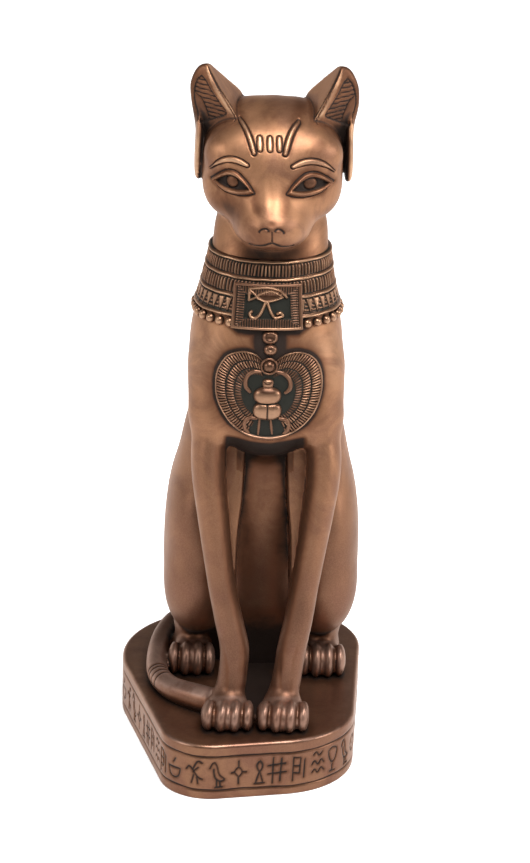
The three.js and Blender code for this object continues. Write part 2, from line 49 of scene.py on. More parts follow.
# Sizes in millimetres, the cat's own from the top of the plinth. Its axis is x = 0 and it faces -Y.
CAT_HEIGHT = 256.5
PLINTH_HEIGHT = 23.5
PLINTH_MARGIN = 9.0
PLINTH_EDGE = 1.6
PLINTH_FOOT_EDGE = 0.8
GROOVE_WIDTH = 0.9
GROOVE_DEPTH = 0.6
UPPER_GROOVE_DROP = 5.0
LOWER_GROOVE_RISE = 4.0
SINK = 1.5  # how far the cat runs down into the plinth
NECK_CUT = 176  # the head starts here, behind the collar
BODY_TOP = 182  # and the body ends here, inside the neck

rng = np.random.default_rng(7)


# Numbers and lines

def clamp(values):
    """Values held between 0 and 1."""
    return np.clip(values, 0, 1)


def soft(gap, width):
    """A soft hump: 1 where the gap is 0, and little beyond the width."""
    return np.exp(-((gap / width) ** 2))


def bump(x, half, power=0.5):
    """A rounded ridge across x, 1 at the middle and 0 beyond half."""
    return clamp(1 - (x / half) ** 2) ** power


def grid(rows, columns):
    """Every row value with every column value, as two flat arrays."""
    return [m.ravel() for m in np.meshgrid(rows, columns, indexing="ij")]


def run_along(line):
    """The length of a line up to each of its points."""
    return np.concatenate([[0], np.cumsum(np.linalg.norm(np.diff(line, axis=0), axis=1))])


# Fields: signed distances in millimetres, below zero inside a form.

def blend(a, b, k):
    """The nearer of two forms, with a fillet of width k where they meet."""
    h = np.maximum(k - np.abs(a - b), 0)
    return np.minimum(a, b) - h * h / (4 * k)


def cut(a, b, k):
    """What two forms share, its edge rounded over a width k."""
    return -blend(-a, -b, k)


def ellipsoid(centre, radii, lean=0.0):
    """An ellipsoid whose top leans towards +Y by lean radians."""
    c, s = math.cos(lean), math.sin(lean)
    rx, ry, rz = radii

    def field(x, y, z):
        dx = x - centre[0]
        dy = c * (y - centre[1]) - s * (z - centre[2])
        dz = s * (y - centre[1]) + c * (z - centre[2])
        k0 = np.sqrt((dx / rx) ** 2 + (dy / ry) ** 2 + (dz / rz) ** 2)
        k1 = np.sqrt((dx / rx**2) ** 2 + (dy / ry**2) ** 2 + (dz / rz**2) ** 2) + 1e-6
        return k0 * (k0 - 1) / k1

    return field


def taper(a, ra, b, rb):
    """A rounded rod between two points, with a radius at each."""
    a, b = np.array(a, float), np.array(b, float)
    d = b - a
    length2 = float(d @ d)

    def field(x, y, z):
        t = clamp(((x - a[0]) * d[0] + (y - a[1]) * d[1] + (z - a[2]) * d[2]) / length2)
        gap = np.sqrt((x - a[0] - t * d[0]) ** 2 + (y - a[1] - t * d[1]) ** 2 + (z - a[2] - t * d[2]) ** 2)
        return gap - (ra + t * (rb - ra))

    return field


def stations(rows):
    """A smooth curve through [height, value, ...] rows, read at heights."""
    rows = np.array(rows, float)
    heights, values = rows[:, 0], rows[:, 1:]
    slopes = np.empty_like(values)
    slopes[1:-1] = (values[2:] - values[:-2]) / (heights[2:] - heights[:-2])[:, None]
    slopes[0] = (values[1] - values[0]) / (heights[1] - heights[0])
    slopes[-1] = (values[-1] - values[-2]) / (heights[-1] - heights[-2])

    def at(z):
        z = np.clip(z, heights[0], heights[-1])
        i = np.clip(np.searchsorted(heights, z, side="right") - 1, 0, len(heights) - 2)
        span = heights[i + 1] - heights[i]
        t = (z - heights[i]) / span
        t2, t3 = t * t, t * t * t
        return [
            values[i, j] * (2 * t3 - 3 * t2 + 1)
            + slopes[i, j] * span * (t3 - 2 * t2 + t)
            + values[i + 1, j] * (3 * t2 - 2 * t3)
            + slopes[i + 1, j] * span * (t3 - t2)
            for j in range(values.shape[1])
        ]

    return at


def how_far(squareness, *shares):
    """How far out a point is: 1 on an oval whose half widths the shares are parts of, squarer as asked."""
    return sum(np.abs(s) ** squareness for s in shares) ** (1 / squareness)


def limb(rows, squareness=2.0):
    """A standing limb with level oval sections: rows of height, centre x and y, half width and half depth."""
    at = stations(rows)
    low, high = rows[0][0], rows[-1][0]

    def field(x, y, z):
        cx, cy, rx, ry = at(z)
        share = how_far(squareness, (x - cx) / rx, (y - cy) / ry)
        return np.maximum((share - 1) * np.minimum(rx, ry), np.maximum(z - high, low - z))

    return field


def curve(points, count):
    """A smooth curve through points, as count + 1 points spaced evenly along it."""
    p = np.array(points, float)
    p = np.vstack([2 * p[0] - p[1], p, 2 * p[-1] - p[-2]])
    t = np.linspace(0, 1, 24, endpoint=False)[:, None]
    fine = [
        0.5 * (2 * b + (c - a) * t + (2 * a - 5 * b + 4 * c - d) * t**2 + (3 * b - a - 3 * c + d) * t**3)
        for a, b, c, d in zip(p[:-3], p[1:-2], p[2:-1], p[3:])
    ]
    fine = np.vstack([*fine, p[-2:-1]])
    run = run_along(fine)
    even = np.linspace(0, run[-1], count + 1)
    return np.stack([np.interp(even, run, column) for column in fine.T], 1)


def rope(path, radii, count=40):
    """A rounded rope along a smooth path, with a radius at each of its given points."""
    line = curve([[*p, r] for p, r in zip(path, radii)], count)

    def field(x, y, z):
        best = None
        for a, b in zip(line[:-1], line[1:]):
            piece = taper(a[:3], a[3], b[:3], b[3])(x, y, z)
            best = piece if best is None else np.minimum(best, piece)
        return best

    return field


def upright(x):
    """An axis that doesn't lean."""
    return lambda z: [x]


def paired(field, lean):
    """The same form on both sides of an axis that may lean: its x at each height."""
    return lambda x, y, z: field(np.abs(x - lean(z)[0]), y, z)


# The cat's forms

TRUNK = stations([
    [-4, 25, 9, 47],
    [12, 29, 6, 51],
    [35, 31, 0, 52.5],
    [60, 31.5, -6, 49],
    [85, 28.5, -10, 41.5],
    [96, 27, -12.3, 37],
    [101.6, 26.6, -17, 35.3],
    [106, 26.2, -26, 33.6],
    [111, 26.2, -31, 31.8],
    [118.5, 26.4, -33.4, 29.3],
    [127, 26.7, -34.2, 26],
    [135, 27, -34.3, 22.5],
    [150, 27.4, -33, 17],
    [163, 26.3, -30.5, 12.5],
    [174, 24.6, -27.5, 10],
    [185, 22.6, -24.5, 9.5],
    [196, 21.4, -20.5, 11.5],
    [206, 18, -17, 13],
])
TRUNK_TOP = 206
TRUNK_FULLNESS = 2.25


# The cast figure isn't quite upright: how far its middle line, and its forelegs', stand off at each height
BODY_LEAN = stations([
    [0, 0], [20, 0.6], [40, 1], [105, 0.9], [125, 0.3], [140, 0], [173, 0], [184, 0.4], [206, 0.9],
    [260, 0.9],
])
FORELEG_LEAN = stations([
    [0, -1.6], [8, -1.5], [15, 0], [27, 1.2], [40, 1.1], [55, 0.7], [100, 0.8], [126, 0.2],
])
HEAD_SHIFT = 0.4
EAR_LEAN = stations([[222, 0.6], [240, 0.9], [250, 0.3], [258, 0]])


def trunk(x, y, z):
    x = x - BODY_LEAN(z)[0]
    arch = 4.5 * np.clip(np.abs(x) / 16, 0, 1.2) ** 2 * soft(z - 108, 10)  # the chest's lower rim
    w, front, back = TRUNK(z - arch)
    cy, d = (front + back) / 2, (back - front) / 2
    share = how_far(TRUNK_FULLNESS, x / w, (y - cy) / d)
    return np.maximum((share - 1) * np.minimum(w, d), z - TRUNK_TOP)


FORELEG = [
    [3, 11, -40.5, 6.6, 7.2],
    [13, 10.8, -39.3, 5.9, 7],
    [20, 10.9, -38.2, 5.7, 6.8],
    [28, 11.3, -37.4, 5.8, 6.8],
    [40, 13.7, -36.2, 5.7, 6.9],
    [53, 16.2, -34.2, 5.5, 7.1],
    [68, 18.5, -31.8, 5.8, 7.8],
    [83, 20.6, -29, 6.3, 8.6],
    [98, 22.4, -25.8, 6.7, 9.6],
    [110, 22.2, -22.5, 7, 10.2],
    [124, 19.5, -18.5, 7.4, 9.6],
    [140, 15.5, -15, 6, 7],
]
FORELEG_FOLD = [
    [38, 14.5, -28.5, 3, 2.5],
    [42, 14.7, -25.6, 3.9, 5.2],
    [49, 15, -21, 4.6, 9.8],
    [58, 15, -18.2, 4.5, 12],
    [72, 15, -16, 4.9, 11],
    [86, 14.4, -14.4, 5.7, 10],
    [105, 14, -12.2, 6, 8.2],
    [116, 14, -11, 6.2, 7.5],
]
HIND_FOOT = [
    [-2, 27, 16, 8.5, 16],
    [6, 27, 15.5, 7.6, 14.5],
    [11, 27, 16, 6.8, 12.5],
    [17, 27, 17.5, 7.4, 12],
    [24, 26, 19, 5.4, 9.5],
]
FOREPAW = {"x": 10.9, "y": -47, "half_width": 10.2, "front": 12.8, "back": 10, "height": 12.2}
HIND_PAW = {"x": 26.8, "y": 4.5, "half_width": 9.4, "front": 13, "back": 8, "height": 13.4}
TAIL_RADIUS = 4.4
TAIL_END_RADIUS = 5.5
TAIL_RINGS = [0.7, 0.72, 0.745, 0.77]
TAIL = [
    [-4, 46, 6],
    [-20, 48, 5],
    [-32, 42, 4.2],
    [-38, 26, 4],
    [-40.5, 6, 4],
    [-40, -12, 4],
    [-34.5, -25, 4],
    [-24, -33.5, 4],
    [-17, -37.5, 4],
]


class Form:
    """A field, the box that it fills, and the fillet with which it joins what came before it."""

    def __init__(self, field, low, high, fillet):
        self.field = field
        self.low = np.array(low, float)
        self.high = np.array(high, float)
        self.fillet = fillet


def both(field, low, high, fillet, lean=BODY_LEAN):
    """A form on both sides, its box given for the +X side."""
    return Form(paired(field, lean), [-high[0] - 1.2, *low[1:]], [high[0] + 1.2, *high[1:]], fillet)


def toes(p):
    """A paw: a low back, and four rounded toes in an arc, each longer up and down than across."""
    w, h = p["half_width"], p["height"]
    parts = [
        ellipsoid([p["x"], p["y"] + 1, h * 0.4], [w * 0.86, p["back"], h * 0.56]),
        ellipsoid([p["x"], p["y"] - p["front"] + 8.1, h * 0.42], [w * 0.9, 6.3, h * 0.48]),
    ]
    for across, size in ((-0.75, 0.94), (-0.26, 1), (0.26, 1), (0.75, 0.94)):
        middle = [p["x"] + across * w, p["y"] - p["front"] + 6.6 + 2.8 * across**2, h * 0.46 * size]
        parts.append(ellipsoid(middle, [w * 0.275, 6.6, h * 0.53 * size], 0.2))

    def field(x, y, z):
        d = parts[0](x, y, z)
        for part in parts[1:]:
            d = blend(d, part(x, y, z), 0.6)
        return d

    return field


def paw_form(p, fillet, lean=BODY_LEAN):
    x, y = p["x"], p["y"]
    across, ahead = p["half_width"] + 2, p["front"] + 2
    low, high = [x - across, y - ahead, -4], [x + across, y + p["back"] + 3, p["height"] + 4]
    return both(toes(p), low, high, fillet, lean)


def fold_form():
    return both(limb(FORELEG_FOLD, 9), [7, -32, 38], [21, -3, 116], 0.5, FORELEG_LEAN)


def paws():
    return [paw_form(FOREPAW, 3.5, FORELEG_LEAN), paw_form(HIND_PAW, 2)]


def body_forms():
    def haunch(x, y, z):
        up = z - 50
        shares = (x - 24.8) / 15, (y - 17 - 0.06 * up) / 28.5, up / np.where(up > 0, 48, 34.5)
        return (how_far(2.3, *shares) - 1) * 15

    loin = ellipsoid([12, 14, 97], [18.6, 23, 34])
    knee = ellipsoid([25.5, 4, 36], [10.5, 12, 15.5], -0.2)
    shoulder = ellipsoid([16, -5, 138], [12, 21, 29], 0.15)
    upper_arm = taper([17, -16, 138], 11.8, [19.4, -20.5, 122], 10.4)
    tail = rope(TAIL, [TAIL_RADIUS] * (len(TAIL) - 3) + [4.7, TAIL_END_RADIUS, TAIL_END_RADIUS], 48)
    return [
        Form(trunk, [-34, -36, -6], [34, 55, 208], 1),
        both(haunch, [6, -17, 12], [43, 50, 103], 7),
        both(loin, [0, -14, 58], [36, 42, 136], 8),
        both(knee, [11, -16, 16], [41, 21, 57], 8),
        both(limb(HIND_FOOT), [17, 0, -2], [38, 33, 24], 3),
        both(shoulder, [0, -33, 102], [34, 22, 174], 10),
        both(upper_arm, [1, -37, 104], [35, 2, 156], 7, FORELEG_LEAN),
        both(limb(FORELEG), [2, -49, 3], [31, -6, 140], 5, FORELEG_LEAN),
        fold_form(),
        *paws(),
        Form(tail, [-47, -44, -2], [3, 54, 12], 1.6),
    ]


def chest_forms():
    """The chest and neck alone, which the ornaments lie on."""
    return [form for form in body_forms() if form.low[2] > 100 or form.field is trunk]


EAR = stations([
    [222, 27.5, 0, 16, -4, 14, 8],
    [229, 30.4, -2.5, 14.3, -11, 11.3, 9],
    [237, 32.2, -4, 14.4, -15.5, 11.2, 8],
    [243, 33.1, -5, 17.6, -14.8, 12.4, 6.5],
    [249, 32.9, -6, 21.3, -12.8, 17.8, 3.5],
    [254, 31, -6.5, 24, -10.2, 22.2, -1],
    [257.4, 28.4, -7, 25.4, -8.4, 24.8, -5],
])
EAR_TOP = 257.1
FLAP = [
    [211, 28.7, -2.5, 0.7, 2.2],
    [212.3, 28.8, -2.5, 1.3, 5.2],
    [215.5, 28.9, -2.4, 1.6, 7.2],
    [222, 28.9, -2, 1.6, 8],
    [230, 28.8, -1.5, 1.5, 7.7],
    [236, 29.1, -1, 1.4, 5.8],
    [239.5, 29.4, -0.8, 0.8, 3],
]
BEHIND_FLAP = [
    [212.5, 26, 3.6, 1.4, 2.4],
    [216, 26.2, 3.8, 2.4, 4.2],
    [225, 26.5, 4, 2.8, 5],
    [236, 26.9, 3.8, 2.7, 5.4],
    [242, 26.8, 3, 1.6, 3.4],
]


def ear(x, y, z):
    """Level sections with a flat front from the outer edge to the ridge, an inner face and a rounded back."""
    ox, oy, rx, ry, bx, by = EAR(z)
    mid_x, mid_y = (bx + ox) / 2 + 0.22 * (by - ry), (by + oy) / 2 + 0.12 * (by - ry)
    corners = [(ox, oy), (rx, ry), (bx, by), (mid_x, mid_y)]
    d = None
    for i, (ax, ay) in enumerate(corners):
        ex, ey = corners[(i + 1) % 4]
        length = np.sqrt((ex - ax) ** 2 + (ey - ay) ** 2) + 1e-6
        side = ((ex - ax) * (y - ay) - (ey - ay) * (x - ax)) / length
        d = side if d is None else cut(d, side, 1.2 if i < 3 else 3.0)
    return cut(cut(d, z - EAR_TOP, 1.5), 222 - z, 1)


def skull_forms():
    m = HEAD_SHIFT
    sides = upright(m)
    return [
        Form(ellipsoid([m, -3, 221], [27.2, 27, 22.3]), [-27, -31, 198], [29, 25, 244], 1),
        both(ellipsoid([13.5, -17.6, 225.5], [12, 8.5, 9]), [1, -27, 216], [26, -9, 235], 7, sides),
        both(ellipsoid([12.2, -12, 210], [13.8, 15, 12]), [-2, -27, 197], [26, 3, 222], 7, sides),
        both(ellipsoid([10.5, -2, 232.8], [10, 14, 9]), [0, -17, 223], [22, 13, 243], 4, sides),
        Form(ellipsoid([m, -20, 197.5], [13.5, 16, 5.6]), [-14, -36, 191], [15, -4, 204], 5),
        Form(ellipsoid([m, -25, 201.7], [12.4, 16, 9]), [-13, -41, 192], [14, -9, 211], 9),
        Form(ellipsoid([m - 0.6, -24.9, 214], [10, 7, 18], 0.46), [-11, -40, 196], [11, -12, 232], 7),
    ]


def ear_forms():
    return [
        both(ear, [8, -17, 222], [35, 14, 258], 1.2, EAR_LEAN),
        both(limb(FLAP, 2.4), [26, -11, 211], [31, 8, 239.5], 0.5),
        both(limb(BEHIND_FLAP), [22, -3, 212], [30, 11, 242], 0.8),
    ]


def head_forms():
    m = HEAD_SHIFT
    neck = [
        Form(ellipsoid([m, -6, 190], [20.5, 17, 24]), [-21, -23, 166], [22, 11, 214], 3),
        Form(trunk, [-28, -32, 160], [28, 14, 206], 1.5),
    ]
    return skull_forms() + ear_forms() + neck


# Reading forms

FAR = 40.0
REACH = 16.0  # beyond this distance from its box, a form isn't read


def read(forms, points):
    """The field of all forms at points."""
    d = np.full(len(points), FAR)
    for form in forms:
        near = np.all((points > form.low - REACH) & (points < form.high + REACH), axis=1)
        if near.any():
            d[near] = blend(d[near], form.field(*points[near].T), form.fillet)
    return d


def gradient(forms, points, e=0.04):
    """The slope of the field at points."""
    steps = np.eye(3) * e
    return np.stack([(read(forms, points + s) - read(forms, points - s)) / (2 * e) for s in steps], 1)


def normals_of(forms, points):
    g = gradient(forms, points)
    return g / (np.linalg.norm(g, axis=1, keepdims=True) + 1e-9)


def skin(forms, low, high, cell, floor=-math.inf, roof=math.inf):
    """The surface of forms as points and four-sided faces, cut level at floor and roof."""
    axes = [np.arange(a - 1.5 * cell, b + 2.5 * cell, cell) for a, b in zip(low, high)]
    values = np.full([len(a) for a in axes], FAR, np.float32)
    for form in forms:
        margin = 3 * cell + form.fillet
        window = tuple(
            slice(np.searchsorted(a, lo - margin), np.searchsorted(a, hi + margin))
            for a, lo, hi in zip(axes, form.low, form.high)
        )
        x, y, z = np.ix_(*(a[w] for a, w in zip(axes, window)))
        values[window] = blend(values[window], form.field(x, y, z), form.fillet)
    values = np.maximum(values, np.maximum(floor - axes[2], axes[2] - roof))

    # One point in each cell that the surface crosses, at the middle of its crossings with the cell's edges
    inside = values < 0
    nx, ny, nz = np.array(inside.shape) - 1
    corners = sum(
        inside[i:nx + i, j:ny + j, k:nz + k].astype(np.int8)
        for i in (0, 1) for j in (0, 1) for k in (0, 1)
    )
    crossed = (corners > 0) & (corners < 8)
    number = np.full(crossed.shape, -1, np.int64)
    number[crossed] = np.arange(crossed.sum())
    base = np.argwhere(crossed)
    total, hits = np.zeros((len(base), 3)), np.zeros(len(base))
    units = np.eye(3, dtype=int)
    for axis, step in enumerate(units):
        side, other = np.delete(units, axis, 0)
        for a in (base, base + other, base + side, base + side + other):
            va, vb = values[tuple(a.T)], values[tuple((a + step).T)]
            here = (va < 0) != (vb < 0)
            t = va[here] / (va[here] - vb[here])
            total[here] += a[here] + t[:, None] * step
            hits[here] += 1
    points = np.array([a[0] for a in axes]) + cell * total / hits[:, None]

    # One face round each edge of the grid that the surface crosses
    faces = []
    for axis in range(3):
        u, v = units[(axis + 1) % 3], units[(axis + 2) % 3]
        change = inside != np.roll(inside, -1, axis)
        np.moveaxis(change, axis, 0)[-1] = False
        e = np.argwhere(change)
        e = e[np.all(np.delete(e, axis, 1) > 0, axis=1)]
        quad = np.stack([number[tuple((e - s).T)] for s in (u + v, v, 0 * u, u)], 1)
        out = inside[tuple(e.T)]
        quad[~out] = quad[~out][:, ::-1]
        faces.append(quad)
    return points, np.vstack(faces)


def settle(forms, points, floor=-math.inf, roof=math.inf, steps=3):
    """Moves points onto the true surface of the forms; those on a level cut stay on it."""
    for _ in range(steps):
        g = gradient(forms, points)
        move = g * np.clip(read(forms, points) / (np.sum(g * g, axis=1) + 1e-9), -0.6, 0.6)[:, None]
        on_cut = (points[:, 2] > roof - 0.7) | (points[:, 2] < floor + 0.7)
        points = np.where(on_cut[:, None], points, points - move)
    return points


def refine(points, triangles, wanted):
    """Halves every edge whose two ends are wanted, and cuts the triangles beside it to match."""
    edges = np.sort(np.vstack([triangles[:, [0, 1]], triangles[:, [1, 2]], triangles[:, [2, 0]]]), axis=1)
    unique, where = np.unique(edges, axis=0, return_inverse=True)
    where = where.reshape(3, -1).T
    split = wanted[unique].all(1)
    number = np.full(len(unique), -1)
    number[split] = len(points) + np.arange(split.sum())
    middles = points[unique[split]].mean(1)
    mid = number[where]
    count = (mid >= 0).sum(1)
    kept = [triangles[count == 0]]
    full = count == 3
    a, b, c = triangles[full].T
    ab, bc, ca = mid[full].T
    kept += [np.stack(t, 1) for t in ([a, ab, ca], [ab, b, bc], [ca, bc, c], [ab, bc, ca])]
    for k in range(3):
        one = (count == 1) & (mid[:, k] >= 0)
        a, b, c = triangles[one][:, [k, (k + 1) % 3, (k + 2) % 3]].T
        m = mid[one][:, k]
        kept += [np.stack([a, m, c], 1), np.stack([m, b, c], 1)]
    return np.vstack([points, middles]), np.vstack(kept)


def surface(forms, low, high, cell, zones, floor, roof=math.inf):
    """The forms' surface as points, triangles and the ways out of it, finer in each zone in turn."""
    points, quads = skin(forms, low, high, cell, floor, roof)
    triangles = np.vstack([quads[:, [0, 1, 2]], quads[:, [0, 2, 3]]])
    points = settle(forms, points, floor, roof)
    for zone in zones:
        points, triangles = refine(points, triangles, zone(points))
        points = settle(forms, points, floor, roof, steps=2)
    return points, triangles, normals_of(forms, points)


def steepness(forms, points, normals):
    """How fast the forms' reading grows on the way out of the surface: 1 where it is a true distance."""
    return np.clip(read(forms, points + normals * 0.5) - read(forms, points - normals * 0.5), 0.25, 1)


# How far out of the surface a point looks for what closes it in, and how much each distance counts, for
# painted shade
BROAD_REACHES = ((0.8, 0.22), (2.2, 0.22), (5.5, 0.24), (12.0, 0.22), (24.0, 0.22))
FINE_REACHES = ((0.6, 0.75), (1.6, 0.65))
PLINTH_REACHES = ((1.0, 0.3), (3.0, 0.25), (8.0, 0.25), (15.0, 0.2))


def shade(forms, points, normals, reaches=BROAD_REACHES):
    """How closed in each point is, which is painted as shade and patina: 0 in the open, 1 deep in a recess.
    """
    total = np.zeros(len(points))
    slope = steepness(forms, points, normals)
    for reach, weight in reaches:
        total += weight * clamp(1 - read(forms, points + normals * reach) / (reach * slope))
    return total


def crest(forms, points, normals):
    """How sharply each point stands out: 0 on a flat or hollow place, 1 on an edge."""
    total = np.zeros(len(points))
    slope = steepness(forms, points, normals)
    for depth in (1.2, 2.4):
        total += 0.5 * clamp(2.2 + 2.2 * read(forms, points - normals * depth) / (depth * slope))
    return total


# Relief: strokes drawn on flat coordinates that push a surface in or out

def nearest(path, flat):
    """For each flat point: its distance from a path and the share of the path where it is nearest."""
    best = np.full(len(flat), 1e3)
    share = np.zeros(len(flat))
    n = len(path) - 1
    for i, (a, b) in enumerate(zip(path[:-1], path[1:])):
        d = b - a
        t = clamp((flat - a) @ d / max(d @ d, 1e-9))
        gap = np.linalg.norm(flat - a - t[:, None] * d, axis=1)
        closer = gap < best
        best[closer] = gap[closer]
        share[closer] = (i + t[closer]) / n
    return best, share


class Relief:
    """How far each point of a surface is raised, and how dark and how worn its finish is."""

    def __init__(self, flat, mask=None):
        self.flat = flat
        self.lift = np.zeros(len(flat))
        self.dark = np.zeros(len(flat))
        self.worn = np.zeros(len(flat))
        self.mask = np.ones(len(flat), bool) if mask is None else mask

    def near(self, path, margin):
        low, high = path.min(0) - margin, path.max(0) + margin
        return self.mask & np.all((self.flat > low) & (self.flat < high), axis=1)

    def darken(self, dark):
        self.dark = np.maximum(self.dark, dark)

    def groove(self, path, half=0.3, depth=0.35, dark=1.0, fade=0.0):
        here = self.near(path, 4 * half)
        gap, share = nearest(path, self.flat[here])
        shape = soft(gap, half)
        if fade:
            shape *= clamp(np.minimum(share, 1 - share) / fade)
        self.lift[here] -= depth * shape
        self.dark[here] = np.maximum(self.dark[here], dark * soft(gap, half * 1.25) * (shape > 0.02))

    def strip(self, path, halves, height=0.8, edge=0.3, rim=0.3, dark=1.0):
        """A raised rounded strip, its half width given along it, with a dark line round it."""
        halves = np.asarray(halves, float)
        here = self.near(path, halves.max() + 4 * edge)
        gap, share = nearest(path, self.flat[here])
        half = np.interp(share, np.linspace(0, 1, len(halves)), halves)
        inner = clamp(1 - (gap / np.maximum(half, 0.05)) ** 2)
        line = soft(gap - half - edge * 0.4, edge)
        self.lift[here] += height * inner**0.55 - rim * line
        self.dark[here] = np.maximum(self.dark[here] * (inner <= 0.1), dark * line * (inner < 0.35))
        self.worn[here] = np.maximum(self.worn[here], 0.8 * inner**2)

    def apply(self, points, normals):
        return points + normals * self.lift[:, None]


def within(flat, top, foot):
    """Which points lie in the lens between two lines."""
    u, v = flat.T
    below_top = v < np.interp(u, *top.T, left=-999, right=-999)
    return below_top & (v > np.interp(u, *foot.T, left=999, right=999))


def depth_in(flat, top, foot):
    """How deep in the lens between two lines each point is, below 0 outside it."""
    edge = np.minimum(nearest(top, flat)[0], nearest(foot, flat)[0])
    return np.where(within(flat, top, foot), edge, -edge)


# Making Blender objects

SIZE = (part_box(NODE)[1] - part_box(NODE)[0]).z * 1000 / (CAT_HEIGHT + PLINTH_HEIGHT)  # 1 at the drawn size


PLINTH_CORNERS = np.array([[-27.4, -60.6], [28.4, -50.7], [37.5, 57], [-55.8, 51]])
PLINTH_CORNER_RADII = [20, 34, 34, 46]


def plinth_outline(arc_steps=24):
    """The plinth's outline in plan: four straight sides with rounded corners."""
    def corner(points, i):
        a, b = (d / np.linalg.norm(d) for d in (points[i - 1] - points[i], points[(i + 1) % 4] - points[i]))
        return a, (a + b) / np.linalg.norm(a + b), math.acos(a @ b) / 2

    grown = []
    for i, point in enumerate(PLINTH_CORNERS):
        _, inward, half = corner(PLINTH_CORNERS, i)
        grown.append(point - inward * PLINTH_MARGIN / math.sin(half))
    ring = []
    for i, radius in enumerate(PLINTH_CORNER_RADII):
        along, inward, half = corner(grown, i)
        centre = grown[i] + inward * radius / math.sin(half)
        start = grown[i] + along * radius / math.tan(half) - centre
        for turn in (math.pi - 2 * half) * np.arange(arc_steps + 1) / arc_steps:
            c, s = math.cos(turn), math.sin(turn)
            ring.append(centre + [c * start[0] - s * start[1], s * start[0] + c * start[1]])
    return np.array(ring)


MIDDLE = (plinth_outline().min(0) + plinth_outline().max(0)) / 2


def to_row(points, over_plinth=True):
    """Millimetres of the drawing to metres of the row frame."""
    moved = np.array(points, float)
    if over_plinth:
        moved[:, 2] += PLINTH_HEIGHT
    moved[:, :2] -= MIDDLE
    return moved * SIZE / 1000


def make(name, points, faces, material, over_plinth=True, **attributes):
    """A piece of the casting from points and faces, with its finish and painted light stored point by point.
    """
    mesh = bpy.data.meshes.new(name)
    mesh.from_pydata(to_row(points, over_plinth).tolist(), [], [list(face) for face in faces])
    mesh.validate()
    mesh.polygons.foreach_set("use_smooth", np.ones(len(mesh.polygons), bool))
    for key, values in attributes.items():
        stored = mesh.attributes.new(key, "FLOAT", "POINT")
        stored.data.foreach_set("value", clamp(values).astype(np.float32))
    mesh.materials.append(material)
    piece = bpy.data.objects.new(name, mesh)
    bpy.context.scene.collection.objects.link(piece)
    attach(piece, "root")
    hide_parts(NODE)
    return piece


# The head. The face's middle line leans as it goes up, and its two sides aren't quite alike

FACE_LEAN = -0.042
FACE_FOOT = 196  # where that line crosses x = 0
DRAWN_ACROSS = [0, 5, 7.4, 23, 30]
LEFT_ACROSS = [0, 5.9, 8.2, 22.2, 29.2]
RIGHT_ACROSS = [0, 5.5, 8.0, 24, 31]
BROW = [[7.9, 223.7], [10.3, 224.6], [12.6, 225.2], [15, 225.3], [17.7, 224.7], [20.7, 223], [23.4, 220.3]]
SLANTED_STRIP = [[5.2, 228.3], [5.6, 229.8], [6.3, 232.1], [7.4, 234.6], [8.8, 236.6], [10.4, 238]]
FACE_GROOVES = [  # the nostril, the line under the nose and the lips: half width, depth, darkness, faded ends
    ([[0.9, 201.6], [1.7, 202.5], [2.9, 202.5], [3.9, 201.6], [4.2, 200.7]], 16, 0.45, 0.55, 0.9, 0.2),
    ([[0, 201.8], [0, 199.4], [0.1, 197.2]], 8, 0.32, 0.4, 0.8, 0.15),
    ([[0, 197.0], [1.2, 196.1], [3, 195.0], [5, 194.4], [6.6, 194.3], [8, 194.9]], 20, 0.42, 0.55, 1, 0.2),
]
# Darker places on the face; those under the chin and beside the ears, and on the middle of the forehead and
# of the nose's bridge, are painted shade
SMOKE_AND_SHADE = [  # paths on the face, how far each reaches and how dark it is
    ([[5.4, 214.6], [4.8, 208.5]], 2.6, 0.5),
    ([[9, 210.6], [15, 209.8]], 2, 0.2),
    ([[6.4, 229], [8.6, 235]], 1.9, 0.4),
    ([[10, 238], [12.5, 243]], 3.6, 0.42),
    ([[0, 236.5], [0, 239]], 5, 0.34),
    ([[0, 207], [0, 219]], 1.1, 0.24),
    ([[14, 229], [19, 231]], 2.6, 0.3),
    ([[3.8, 193.6], [9, 196.5]], 1.2, 0.25),
    ([[0, 192.5], [5, 192.3]], 1.3, 0.55),
]

# The almond of an eye and the lids round it: upper and lower edges from the inner corner to the outer
EYE_UPPER = curve([
    [7.4, 214.9], [9.8, 216.9], [12.1, 218.5], [14.6, 219.3], [17, 218.8], [19.2, 217.6], [21.2, 216.1],
], 40)
EYE_LOWER = curve([
    [7.4, 214.9], [10, 214.3], [12.5, 213.9], [15, 213.9], [17.2, 214.3], [19.4, 215.1], [21.2, 216.1],
], 40)
LID_UPPER = curve([
    [5.5, 213.9], [7.6, 216.6], [9.9, 218.8], [12.2, 220.5], [14.9, 221.1], [17.6, 220.5], [20.3, 218.7],
    [23.2, 216.3],
], 40)
LID_LOWER = curve([
    [5.5, 213.9], [7.6, 213.1], [10, 212.5], [12.6, 212.1], [15.2, 212.2], [17.8, 212.9], [20.1, 214.2],
    [22.2, 215.7],
], 40)
IRIS = (14.4, 216.9)
IRIS_RADIUS = 2.4


def face_flat(points):
    """Face coordinates, as the face is seen from in front: distance from its middle line, and height."""
    across = points[:, 0] - FACE_LEAN * (points[:, 2] - FACE_FOOT)
    left = np.interp(-across, LEFT_ACROSS, DRAWN_ACROSS)
    right = np.interp(across, RIGHT_ACROSS, DRAWN_ACROSS)
    return np.where(across < 0, left, right), points[:, 2]


